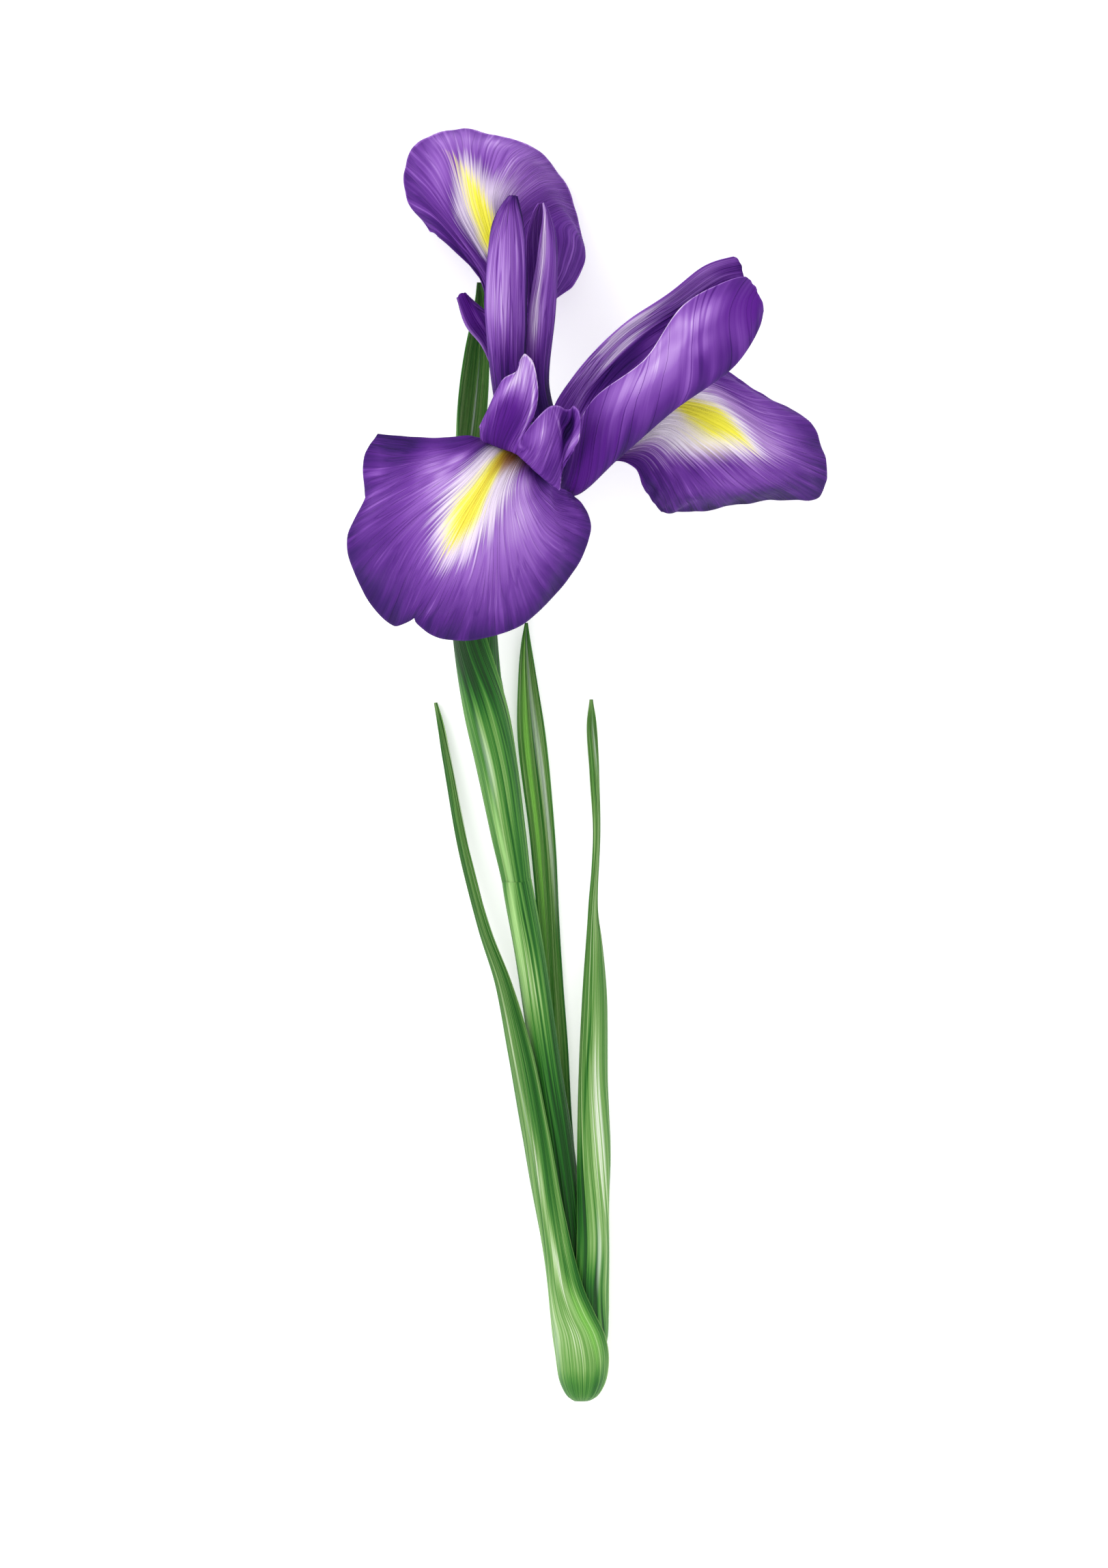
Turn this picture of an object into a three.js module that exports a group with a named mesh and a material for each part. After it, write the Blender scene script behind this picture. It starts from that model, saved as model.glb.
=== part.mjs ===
import * as THREE from 'three';

// A cut iris lying on a table, in millimetres. +Y runs from the cut base of the stem
// to the bloom, +X points to the right of the bloom, +Z points up from the table.

// Driving dimensions
const TEPAL_THICKNESS = 0.7;
const STYLE_THICKNESS = 0.7;
const LEAF_THICKNESS = 0.65;
const SPATHE_THICKNESS = 0.6;
const STEM_RADIUS = 3.3;
const STEM_RADIUS_IN_SHEATH = 3.15;
const STEM_RADIUS_IN_SPATHE = 2.9;
const TUBE_RADIUS = 4.6;
const SEAT_GAP = 0.6;

// The mouth of the perianth tube carries everything in the bloom. Its axis leans up
// from the table and a little to the right. The front fall is at angle 0 round it, the
// right fall at 120 degrees and the back fall at -120.
const mouth = new THREE.Vector3(-11.4, 62.1, 34);
const axis = new THREE.Vector3(0.3, 0.75, 0.59).normalize();
const towardFront = new THREE.Vector3(-0.35, -0.5, 0.79);
towardFront.addScaledVector(axis, -towardFront.dot(axis)).normalize();
const towardRight = new THREE.Vector3().crossVectors(axis, towardFront);

function radial(degrees) {
  const angle = THREE.MathUtils.degToRad(degrees);
  return new THREE.Vector3()
    .addScaledVector(towardFront, Math.cos(angle))
    .addScaledVector(towardRight, Math.sin(angle));
}

// A place at the mouth, at a height above it along the tube's axis
function place(degrees, radius, height) {
  return mouth.clone()
    .addScaledVector(axis, height)
    .addScaledVector(radial(degrees), radius);
}

// Where a tepal or style arm starts: two lines of three points across it, the first
// just above the mouth and the second where it has risen along the axis
function seat(degrees, radius, width, rise) {
  const side = radial(degrees + 90);
  return [SEAT_GAP, SEAT_GAP + rise].map((height) => {
    const centre = place(degrees, radius, height);
    return [-0.5, 0, 0.5].map((part) => centre.clone().addScaledVector(side, part * width));
  });
}

function curveThrough(points) {
  const vectors = points.map((p) => (p.isVector3 ? p : new THREE.Vector3(...p)));
  return new THREE.CatmullRomCurve3(vectors, false, 'centripetal');
}

// A grid of points over a sheet. Each ring is a line across the sheet, from one edge
// to the other, and steps says how many rows lie between one ring and the next.
function sheetGrid(rings, steps, columns) {
  const across = rings.map((ring) => curveThrough(ring).getPoints(columns));
  const grid = [];
  for (let column = 0; column <= columns; column += 1) {
    const along = curveThrough(across.map((line) => line[column]));
    let row = 0;
    for (let span = 0; span < steps.length; span += 1) {
      const last = span === steps.length - 1;
      const count = last ? steps[span] + 1 : steps[span];
      for (let step = 0; step < count; step += 1) {
        const t = (span + step / steps[span]) / steps.length;
        grid[row] = grid[row] || [];
        grid[row][column] = along.getPoint(t);
        row += 1;
      }
    }
  }
  return grid;
}

function sheetNormal(grid, row, column) {
  const lastRow = grid.length - 1;
  const lastColumn = grid[0].length - 1;
  const along = grid[Math.min(row + 1, lastRow)][column].clone()
    .sub(grid[Math.max(row - 1, 0)][column]);
  const across = grid[row][Math.min(column + 1, lastColumn)].clone()
    .sub(grid[row][Math.max(column - 1, 0)]);
  return along.cross(across).normalize();
}

// Closes a grid into a thin solid, with the same triangles on both faces
function sheetBody(grid, thickness) {
  const rows = grid.length;
  const columns = grid[0].length;
  const positions = [];
  for (const side of [0.5, -0.5]) {
    for (let row = 0; row < rows; row += 1) {
      for (let column = 0; column < columns; column += 1) {
        const point = grid[row][column].clone()
          .addScaledVector(sheetNormal(grid, row, column), side * thickness);
        positions.push(point.x, point.y, Math.max(0, point.z));
      }
    }
  }
  const upper = (row, column) => row * columns + column;
  const lower = (row, column) => rows * columns + upper(row, column);
  const faces = [];
  const quad = (a, b, c, d) => faces.push(a, b, c, a, c, d);
  for (let row = 0; row < rows - 1; row += 1) {
    for (let column = 0; column < columns - 1; column += 1) {
      quad(
        upper(row, column), upper(row + 1, column),
        upper(row + 1, column + 1), upper(row, column + 1),
      );
      faces.push(lower(row, column), lower(row + 1, column + 1), lower(row + 1, column));
      faces.push(lower(row, column), lower(row, column + 1), lower(row + 1, column + 1));
    }
    const end = columns - 1;
    quad(upper(row, 0), lower(row, 0), lower(row + 1, 0), upper(row + 1, 0));
    quad(upper(row + 1, end), lower(row + 1, end), lower(row, end), upper(row, end));
  }
  for (let column = 0; column < columns - 1; column += 1) {
    const end = rows - 1;
    quad(upper(0, column + 1), lower(0, column + 1), lower(0, column), upper(0, column));
    quad(upper(end, column), lower(end, column), lower(end, column + 1), upper(end, column + 1));
  }
  return bodyFrom(positions, faces);
}

function bodyFrom(positions, faces) {
  const geometry = new THREE.BufferGeometry();
  geometry.setAttribute('position', new THREE.Float32BufferAttribute(positions, 3));
  geometry.setIndex(faces);
  geometry.computeVertexNormals();
  return geometry;
}

// A solid limb along a route. Each station is [x, y, z, half width, half depth], the
// width lies along the given side, and ridge raises three edges round the section.
function limbBody(stations, side, sides, rows, ridge = 0) {
  const route = curveThrough(stations.map((s) => s.slice(0, 3)));
  const sizes = curveThrough(stations.map((s) => [s[3], s[4], 0]));
  const positions = [];
  for (let row = 0; row <= rows; row += 1) {
    const t = row / rows;
    const centre = route.getPoint(t);
    const tangent = route.getTangent(t);
    const size = sizes.getPoint(t);
    const wide = side.clone().addScaledVector(tangent, -side.dot(tangent)).normalize();
    const deep = new THREE.Vector3().crossVectors(wide, tangent);
    for (let k = 0; k < sides; k += 1) {
      const angle = (k / sides) * Math.PI * 2;
      const swell = 1 + ridge * Math.cos(3 * angle);
      const point = centre.clone()
        .addScaledVector(wide, Math.cos(angle) * size.x * swell)
        .addScaledVector(deep, Math.sin(angle) * size.y * swell);
      positions.push(point.x, point.y, point.z);
    }
  }
  const faces = [];
  for (let row = 0; row < rows; row += 1) {
    for (let k = 0; k < sides; k += 1) {
      const next = (k + 1) % sides;
      const here = row * sides;
      const above = here + sides;
      faces.push(here + k, above + next, here + next);
      faces.push(here + k, above + k, above + next);
    }
  }
  const top = rows * sides;
  for (let k = 1; k < sides - 1; k += 1) {
    faces.push(0, k, k + 1);
    faces.push(top, top + k + 1, top + k);
  }
  return bodyFrom(positions, faces);
}

// A leaf or spathe valve is an arc in section: closed round the stem where it is a
// sheath and open as a channel further up. A station is [y, x, z, radius, facing,
// spread]: the arc's centre, its radius, where its back faces and half its angle, with
// 0 degrees to the right and 90 degrees up.
function channelRing([y, x, z, radius, facing, spread]) {
  const ring = [];
  for (let k = -4; k <= 4; k += 1) {
    const angle = THREE.MathUtils.degToRad(facing + (spread * k) / 4);
    ring.push([x + radius * Math.cos(angle), y, z + radius * Math.sin(angle)]);
  }
  return ring;
}

function channelBody(stations, stepsBetween, columns, thickness) {
  const steps = stations.slice(1).map(() => stepsBetween);
  return sheetBody(sheetGrid(stations.map(channelRing), steps, columns), thickness);
}

const violet = { color: '#5b2c8c', roughness: 0.6, metalness: 0 };
const lightViolet = { color: '#7b49a8', roughness: 0.6, metalness: 0 };
const crestViolet = { color: '#8a5cba', roughness: 0.6, metalness: 0 };
const stemGreen = { color: '#3c7a33', roughness: 0.5, metalness: 0 };
const leafGreen = { color: '#4c8c3c', roughness: 0.5, metalness: 0 };
const spatheGreen = { color: '#2f6629', roughness: 0.5, metalness: 0 };
const pollenCream = { color: '#d9cf9c', roughness: 0.8, metalness: 0 };

const iris = new THREE.Group();

function add(name, geometry, finish) {
  const mesh = new THREE.Mesh(geometry, new THREE.MeshStandardMaterial(finish));
  mesh.name = name;
  iris.add(mesh);
}

// Falls. Their rings run from the seat up the haft, over the throat and out to the rim.
const FALL_COLUMNS = 24;
const FALL_SEAT_RADIUS = 4;
const FALL_SEAT_WIDTH = 2.8;
const FALL_RISE = 1;

function addFall(name, degrees, rings, steps) {
  const all = [...seat(degrees, FALL_SEAT_RADIUS, FALL_SEAT_WIDTH, FALL_RISE), ...rings];
  add(name, sheetBody(sheetGrid(all, steps, FALL_COLUMNS), TEPAL_THICKNESS), violet);
}

// The front fall stands up toward the viewer and hangs forward, with two notches.
addFall('fall_front', 0, [
  [[-16.3, 64.8, 44.5], [-13.2, 63.0, 44], [-10.2, 62.9, 44]],
  [[-19.5, 68.4, 52.5], [-14.8, 65.6, 52.5], [-10.2, 64.4, 52]],
  [[-23.3, 70.1, 58.5], [-17.1, 67.4, 61], [-11.7, 63.9, 57.5]],
  [[-26.7, 71.1, 61], [-27.9, 64.4, 65], [-24.2, 57.6, 66.5], [-16.4, 59.6, 65], [-9.6, 61.6, 57]],
  [
    [-35.4, 71.4, 57], [-39.2, 62.9, 58.5], [-39.6, 51.6, 57], [-31.7, 42.6, 57],
    [-19.7, 43.4, 58], [-9.9, 52.4, 56], [-6.6, 59.5, 51.2],
  ],
  [
    [-44.7, 71.9, 50], [-48.8, 68.2, 47], [-49.1, 58.1, 46], [-52.9, 49.4, 41],
    [-50, 38.6, 38], [-43.4, 30.9, 38], [-38.9, 31.7, 42], [-31.7, 27.2, 39],
    [-19.7, 28.4, 37], [-8, 35.9, 38], [-0.6, 46.4, 40], [0.2, 54.3, 42], [-3.9, 58.5, 45],
  ],
], [1, 1, 2, 2, 3, 3, 3]);

// The right fall leaves under the leaning standard, and its far corner meets the table.
addFall('fall_right', 120, [
  [[-2.6, 63.2, 31.6], [-2.9, 65, 29.8], [-3.2, 67.4, 28.6]],
  [[6.6, 66.6, 33], [9, 71.8, 30.5], [6.6, 77.9, 28.5]],
  [[10.4, 65, 32], [18.5, 77.5, 32], [13.4, 83.9, 28]],
  [[12, 61.4, 29], [21.6, 66.6, 33], [28.4, 74.1, 33], [26.9, 81.6, 31], [20.9, 87.6, 26]],
  [
    [13.8, 58.4, 25], [21.6, 59.6, 27], [32.1, 62.1, 26.5], [39.6, 65.9, 24.5],
    [40.1, 72.6, 26], [35.6, 80.1, 26], [29.1, 87.2, 22],
  ],
  [
    [16.1, 55.8, 20], [19.4, 55.2, 18], [23.9, 55.7, 16], [30.6, 56.9, 13],
    [38.1, 57.9, 9], [45.6, 58.2, 4], [51.3, 59.3, 0.4], [53, 63.6, 2.5],
    [52.1, 69.2, 7], [49.4, 74.6, 12], [44.1, 78.8, 16], [38.1, 81.5, 18], [32.6, 84.9, 18],
  ],
], [1, 1, 2, 2, 3, 3, 3]);

// The back fall lies behind the upright standards, and its far rim rests on the table.
addFall('fall_back', -120, [
  [[-12.5, 72.3, 27.5], [-15.2, 71.9, 28], [-18, 71.5, 30]],
  [[-12.5, 87, 25], [-16.4, 86.9, 24], [-20.2, 87, 25.5]],
  [[-11.6, 99, 23], [-16.9, 98.9, 21.8], [-22, 98.9, 23]],
  [[-10.2, 103.6, 21], [-18.5, 107.9, 20], [-23.4, 106.1, 20.5]],
  [[-8.3, 104.9, 19], [-15.2, 119.1, 21], [-22.4, 124.4, 20.5], [-27.9, 119.1, 19.5], [-27.2, 110.9, 19]],
  [
    [-5.9, 104.1, 15.5], [-5.4, 117.6, 16.5], [-11.4, 128.1, 16.5], [-21.2, 134.1, 14.5],
    [-30.2, 133.7, 13], [-35, 125.1, 14.5], [-32.4, 115.8, 16],
  ],
  [
    [-6.5, 102.3, 12], [-2.7, 106.2, 9.5], [-0.6, 113.1, 8], [-2, 120.6, 7.5],
    [-5.4, 128.6, 6], [-10.7, 135.3, 4], [-18.2, 138.6, 2], [-26.4, 140.1, 0.4],
    [-33.2, 139.4, 0.6], [-38.9, 136.1, 2], [-40.4, 130.4, 5], [-39.3, 123.6, 9], [-35, 117.3, 13],
  ],
], [1, 1, 2, 2, 2, 3, 3, 3]);

// Standards. Each is a spoon folded along its length, and stands between two falls.
const STANDARD_COLUMNS = 8;
const STANDARD_SEAT_RADIUS = 2.9;
const STANDARD_SEAT_WIDTH = 2.6;
const STANDARD_RISE = 2.6;

function addStandard(name, degrees, rings) {
  const start = seat(degrees, STANDARD_SEAT_RADIUS, STANDARD_SEAT_WIDTH, STANDARD_RISE);
  const all = [...start, ...rings];
  const steps = [1, ...rings.map(() => 2)];
  add(name, sheetBody(sheetGrid(all, steps, STANDARD_COLUMNS), TEPAL_THICKNESS), lightViolet);
}

// A standard's section at one height: points [x, z] from one rim to the other
function level(y, points) {
  return points.map(([x, z]) => [x, y, z]);
}

addStandard('standard_left', -60, [
  level(70.4, [[-18.4, 36.2], [-17.4, 37.5], [-16.2, 38], [-15, 38], [-14.4, 37]]),
  level(80.9, [[-20.6, 37], [-19.7, 39], [-17.6, 40.5], [-15, 39.5], [-14, 37.5]]),
  level(98.9, [[-22.4, 38], [-21.4, 42], [-18, 44.2], [-14.8, 42], [-13.8, 38]]),
  level(110.9, [[-21.7, 38], [-20.7, 41.6], [-17.8, 43.4], [-14.8, 41.6], [-13.9, 38]]),
  level(118.4, [[-20.1, 38.2], [-19.2, 40.9], [-17.3, 42], [-15.2, 40.9], [-14.5, 38.3]]),
  level(122.9, [[-18, 38.6], [-17.5, 40], [-16.8, 40.4], [-16, 40], [-15.6, 38.8]]),
  level(124.7, [[-16.9, 39], [-16.7, 39.4], [-16.4, 39.5], [-16.1, 39.4], [-15.9, 39]]),
]);

addStandard('standard_back', 180, [
  level(74.9, [[-8.8, 34], [-7.6, 33.4], [-7.4, 31.8], [-8.6, 30.2], [-10.4, 29.8]]),
  level(83.9, [[-12.1, 34.2], [-10.2, 35], [-8.8, 32.5], [-9.8, 29.6], [-12.3, 29]]),
  level(98.9, [[-13, 35.5], [-10.2, 37], [-7.4, 33.5], [-9.5, 29.5], [-13, 29.2]]),
  level(109.4, [[-11.3, 36], [-9, 37], [-6.9, 33.5], [-9, 29], [-13.4, 30.2]]),
  level(116.9, [[-10.3, 35.2], [-8.9, 35.6], [-7.4, 33], [-9.5, 29.7], [-13.2, 31.3]]),
  level(121.4, [[-9.8, 33.6], [-9.2, 33.8], [-8.7, 32.6], [-9.9, 31], [-11.9, 31.6]]),
  level(123.3, [[-9.9, 32.7], [-9.7, 32.7], [-9.5, 32.3], [-10, 31.9], [-10.8, 32]]),
]);

// The leaning standard is a trough that is open to the upper left, notched at its tip.
addStandard('standard_leaning', 60, [
  [[-5.6, 66.4, 46.5], [-4.6, 61.5, 46], [-3.2, 59.1, 42.6], [-5.3, 68.5, 39.6], [-8.4, 76.6, 41]],
  [[1.1, 79.7, 55], [3.8, 73.8, 54.5], [6.6, 67.2, 47], [0.6, 80.5, 43], [-3.8, 85.9, 46]],
  [[12.3, 88.4, 57], [15.6, 83.9, 56.5], [18.5, 77.6, 49], [10.2, 91.2, 45], [6.6, 95.4, 48]],
  [[20.9, 100.4, 55.5], [26.1, 94.4, 56], [31.9, 87.4, 49], [22, 99, 45.5], [17.6, 102.9, 50]],
  [[31.4, 106.1, 52], [33.8, 101.1, 52.5], [37.6, 95.9, 47], [31.5, 104.5, 44.5], [26.1, 109.4, 48]],
  [[35.6, 106.5, 48.8], [37.5, 103.4, 49.5], [38.5, 99.6, 46.5], [35.6, 106, 44.5], [33.2, 112.1, 47]],
]);

// Style arms. Each arches over a fall's haft and ends in two crests.
const STYLE_SEAT_RADIUS = 1.5;
const STYLE_SEAT_WIDTH = 1.9;

function addStyleArm(name, degrees, rise, rings, steps, columns) {
  const all = [...seat(degrees, STYLE_SEAT_RADIUS, STYLE_SEAT_WIDTH, rise), ...rings];
  add(name, sheetBody(sheetGrid(all, steps, columns), STYLE_THICKNESS), crestViolet);
}

addStyleArm('style_arm_front', 0, 5.5, [
  [[-14.2, 67.4, 45], [-12, 66.9, 45], [-9.9, 65.9, 45.5]],
  [[-18.5, 71.5, 55], [-13.4, 70.2, 55], [-8.8, 67, 55]],
  [[-23.3, 70.9, 62.3], [-19.5, 68.8, 64.4], [-15.8, 67, 65.2], [-10.5, 63.2, 63.2], [-6.2, 59.9, 59.5]],
  [
    [-23.5, 73, 62.2], [-20.5, 76.5, 64.5], [-17, 79, 65.2], [-14.2, 76, 65.4], [-15.2, 69.6, 65.9],
    [-11, 69.5, 65], [-7.5, 70.8, 62.2], [-4.8, 69, 60.8], [-5.9, 63, 60.4],
  ],
  [
    [-23.7, 73.6, 62], [-21.3, 79.4, 62.5], [-17.7, 85, 62.7], [-13.6, 89.6, 61.5],
    [-11.2, 83.5, 62.5], [-12, 76, 64.5], [-14.9, 71, 66], [-12.2, 74, 65.2],
    [-8.4, 77.6, 64], [-5, 77.2, 60.5], [-2.3, 77.9, 62.5], [-2, 71.3, 62.5], [-5.4, 65.6, 61],
  ],
], [1, 2, 2, 2, 2, 3], 24);

addStyleArm('style_arm_right', 120, 2.8, [
  [[-3.2, 66.6, 35.8], [-3.6, 68.4, 35], [-4.2, 70.4, 33.8]],
  [[6, 70.5, 37], [6, 75, 36.5], [4.4, 79.6, 34.5]],
  [[12.4, 72.4, 37.5], [14, 76.2, 38], [13.5, 79.4, 38], [11.5, 82, 37.5], [8.8, 84.4, 35.5]],
  [[15.5, 75, 38.5], [16.8, 79.5, 39], [14.6, 81.4, 39], [15.2, 84.6, 38.8], [12.5, 88, 37]],
], [1, 2, 2, 2, 2], 8);

addStyleArm('style_arm_back', -120, 5.8, [
  [[-12.6, 72.4, 32.4], [-14.6, 72, 32.4], [-16.8, 71.4, 33]],
  [[-14.6, 84.2, 30.6], [-17, 84, 30], [-20, 83.4, 30.6]],
  [[-14.6, 92.6, 30.4], [-16.4, 94.6, 30.8], [-18.8, 95.4, 31], [-20.9, 94.8, 30.8], [-22.8, 91.6, 30]],
  [[-14.8, 97.6, 31.6], [-16.2, 99, 32], [-18.8, 96.8, 31.8], [-23, 99.2, 32], [-25.8, 95.6, 31.5]],
  [[-15.6, 101.2, 32.4], [-16.6, 101.6, 32.6], [-19, 97.8, 32.2], [-26.4, 103.4, 33], [-28.6, 102.2, 33]],
], [1, 2, 2, 2, 2, 2], 8);

// Stamens. Each lies between a fall's haft and the style arm above it.
const STAMEN_SEAT_RADIUS = 2.75;
const FILAMENT = [0.5, 0.45];
const ANTHER = [0.95, 0.5];
const ANTHER_TIP = [0.4, 0.3];

function addStamen(name, degrees, rise, [lower, upper, tip]) {
  const stations = [
    [...place(degrees, STAMEN_SEAT_RADIUS, SEAT_GAP), ...FILAMENT],
    [...place(degrees, STAMEN_SEAT_RADIUS, SEAT_GAP + rise), ...FILAMENT],
    [...lower, ...FILAMENT],
    [...upper, ...ANTHER],
    [...tip, ...ANTHER_TIP],
  ];
  add(name, limbBody(stations, radial(degrees + 90), 6, 12), pollenCream);
}

addStamen('stamen_front', 0, 4, [[-12.5, 65, 44.5], [-13.6, 67.5, 51], [-15.2, 68.5, 56.8]]);
addStamen('stamen_right', 120, 1.8, [[-3.3, 67, 32.3], [4.6, 72.8, 33.6], [11, 77, 34.8]]);
addStamen('stamen_back', -120, 3.8, [[-14.8, 72.3, 30.4], [-16.6, 84.6, 27.3], [-17.2, 93, 26.4]]);

// The ovary bends up out of the spathe, and its tube widens to the mouth.
const neck = mouth.clone().addScaledVector(axis, -3);
add('ovary', limbBody([
  [-24.4, 33.8, 15, 1.7, 1.7],
  [-23.7, 38, 16.2, 1.8, 1.8],
  [-21.6, 44.5, 20, 2.7, 2.7],
  [-18.4, 50.8, 24.6, 3, 3],
  [-14.9, 56, 28.7, 2.1, 2.1],
  [...neck, 2.1, 2.1],
  [...mouth, TUBE_RADIUS, TUBE_RADIUS],
], new THREE.Vector3(1, 0, 0), 12, 18, 0.06), spatheGreen);

// The stem lies on the table at its base and rises to the bloom.
add('flower_stem', limbBody([
  [-0.9, -137, 6.2, 2.6, 2.6],
  [-1.0, -135, 6.2, STEM_RADIUS_IN_SHEATH, STEM_RADIUS_IN_SHEATH],
  [-2.4, -117, 6.5, STEM_RADIUS_IN_SHEATH, STEM_RADIUS_IN_SHEATH],
  [-5.9, -87, 7, STEM_RADIUS, STEM_RADIUS],
  [-9.2, -66, 7.4, STEM_RADIUS, STEM_RADIUS],
  [-12.7, -42, 8, STEM_RADIUS, STEM_RADIUS],
  [-15.4, -27, 9, STEM_RADIUS, STEM_RADIUS],
  [-16.55, -20, 9.45, STEM_RADIUS_IN_SPATHE, STEM_RADIUS_IN_SPATHE],
  [-18.2, -10, 10.2, STEM_RADIUS_IN_SPATHE, STEM_RADIUS_IN_SPATHE],
  [-21.2, 6, 11.6, STEM_RADIUS_IN_SPATHE, STEM_RADIUS_IN_SPATHE],
  [-23.6, 21, 13.2, STEM_RADIUS_IN_SPATHE, STEM_RADIUS_IN_SPATHE],
  [-24.4, 33, 14.7, 2.2, 2.2],
], new THREE.Vector3(1, 0, 0), 12, 30), stemGreen);

// Spathe valves. Both wrap the top of the stem; the bloom bends up out of them.
add('spathe_outer', channelBody([
  [-20, -16.6, 9.4, 3.6, 200, 160],
  [0, -20, 11.1, 4.45, 200, 150],
  [12, -22.3, 12.2, 4.85, 200, 140],
  [27, -24.2, 13.8, 5.15, 196, 118],
  [42, -24.9, 14.6, 5.3, 188, 80],
  [60, -24.4, 14, 5, 205, 72],
  [78, -24, 13, 4.5, 232, 62],
  [90, -23.4, 12.5, 3.7, 240, 58],
  [100, -22.9, 11.5, 2.2, 240, 52],
  [106.2, -23.6, 10.4, 0.7, 240, 45],
], 2, 10, SPATHE_THICKNESS), spatheGreen);

add('spathe_inner', channelBody([
  [0, -20, 11.1, 3.5, 20, 95],
  [12, -22.3, 12.2, 3.8, 10, 110],
  [27, -24.1, 13.8, 4.05, 0, 106],
  [36, -24.1, 14.7, 3.95, 335, 82],
  [44, -23.2, 14.4, 4.5, 312, 56],
  [58, -18.5, 13.6, 4.7, 295, 56],
  [72, -14.5, 12.4, 3.8, 285, 50],
  [80, -12.4, 11.4, 2.2, 280, 45],
  [84, -11.4, 10.4, 0.8, 275, 40],
], 2, 10, SPATHE_THICKNESS), spatheGreen);

// Leaves. The left one is the outermost sheath at the base and carries it on the table.
add('leaf_left', channelBody([
  [-140.2, -1.1, 6.1, 1.6, 180, 168],
  [-139.2, -1, 6.1, 3.2, 180, 168],
  [-136, -0.9, 6.1, 4.95, 180, 168],
  [-131, -0.9, 6.1, 5.8, 178, 160],
  [-126, -1.2, 6.3, 6.25, 170, 134],
  [-121, -1.7, 6.4, 6.25, 176, 118],
  [-116, -2.3, 6.4, 6.1, 178, 104],
  [-108, -3.6, 6.8, 5.8, 168, 84],
  [-96, -6.4, 7, 5.2, 150, 68],
  [-81, -9.5, 7.3, 4.8, 135, 58],
  [-63, -13.3, 7.2, 4.2, 130, 55],
  [-48, -17.3, 6.6, 3, 130, 50],
  [-36, -21.6, 5, 2.4, 135, 48],
  [-18, -26.3, 3, 2.2, 135, 45],
  [0, -29.6, 1.4, 2, 140, 42],
  [9, -31.4, 0.8, 1.6, 145, 38],
  [13.6, -32.9, 0.5, 0.8, 150, 30],
], 2, 12, LEAF_THICKNESS), leafGreen);

add('leaf_middle', channelBody([
  [-126, -1.6, 6.35, 3.98, 290, 30],
  [-117, -2.4, 6.5, 3.98, 280, 38],
  [-99, -4.5, 6.8, 4, 278, 40],
  [-80, -6.6, 6.6, 4.2, 280, 40],
  [-63, -7, 6, 4, 270, 42],
  [-42, -8.2, 5, 3.6, 270, 40],
  [-18, -9.75, 5, 3.9, 270, 44],
  [6, -12.3, 5.2, 4.2, 270, 46],
  [18, -13.2, 6, 4.2, 270, 30],
  [26.9, -13.6, 6.6, 4, 270, 14],
  [31.2, -13.5, 7.2, 4, 270, 3],
], 2, 8, LEAF_THICKNESS), leafGreen);

add('leaf_right', channelBody([
  [-134, -0.9, 6.2, 3.95, 0, 140],
  [-130, -0.9, 6.15, 4.35, 0, 120],
  [-126, -0.5, 6.1, 4.7, 12, 106],
  [-121, -0.4, 6.1, 4.8, 25, 92],
  [-116, -0.4, 6.3, 4.85, 28, 90],
  [-105, -0.2, 6.6, 4.7, 25, 92],
  [-87, 0.9, 7, 3.9, 60, 84],
  [-69, 1.1, 6, 3.2, 80, 80],
  [-51, 1.4, 5, 2.7, 80, 75],
  [-39, 1.3, 4, 1.8, 75, 70],
  [-31.7, 0.7, 3.2, 1.3, 50, 60],
  [-15, 1.2, 2.6, 1.3, 30, 60],
  [0, 0.8, 2.2, 1.5, 50, 58],
  [9, 0.6, 1.8, 1.3, 70, 50],
  [14.3, 0.75, 1.6, 0.5, 80, 35],
], 2, 10, LEAF_THICKNESS), leafGreen);

export default iris;
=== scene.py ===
# %% [markdown]
# # A cut iris in full dress
#
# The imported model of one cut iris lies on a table: its stem and three leaves run along +Y,
# and the camera looks straight down on it. The solids in it are coarse. Each is replaced
# here by a finer piece of the same form, with veins, marks and green streaks on it.
#
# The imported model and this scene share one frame, so nothing is fitted by eye.

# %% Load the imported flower
import math

import bpy
import numpy as np
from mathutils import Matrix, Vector


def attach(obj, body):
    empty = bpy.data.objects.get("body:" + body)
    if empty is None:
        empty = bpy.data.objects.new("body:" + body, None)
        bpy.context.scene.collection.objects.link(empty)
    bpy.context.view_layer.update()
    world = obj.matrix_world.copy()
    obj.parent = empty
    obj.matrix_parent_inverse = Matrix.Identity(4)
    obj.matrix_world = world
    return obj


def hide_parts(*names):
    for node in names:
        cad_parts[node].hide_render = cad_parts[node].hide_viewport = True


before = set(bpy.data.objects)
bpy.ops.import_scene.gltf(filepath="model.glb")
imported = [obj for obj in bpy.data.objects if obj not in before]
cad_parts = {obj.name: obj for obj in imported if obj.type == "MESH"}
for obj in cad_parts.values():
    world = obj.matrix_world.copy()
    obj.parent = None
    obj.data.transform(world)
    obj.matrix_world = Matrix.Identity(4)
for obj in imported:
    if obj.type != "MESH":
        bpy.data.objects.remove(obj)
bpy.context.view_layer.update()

print("solids in the flower:", len(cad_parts))

# %% [markdown]
# ## The camera
#
# The flower was pictured upright and head on. A cut stem lies down, so here the camera
# looks down on it from high up, with the bloom at the top of the frame. A long lens from
# far away flattens the view, as in a botanical plate. An orthographic camera would do too,
# but a long lens keeps a little depth between the near petals and the table.

# %% Camera
FRAME_HEIGHT = 0.3444
FRAME_MIDDLE = (-0.0074, -0.00435)
PETAL_HEIGHT = 0.03
CAMERA_DISTANCE = 6.0
SENSOR = 36.0


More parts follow.
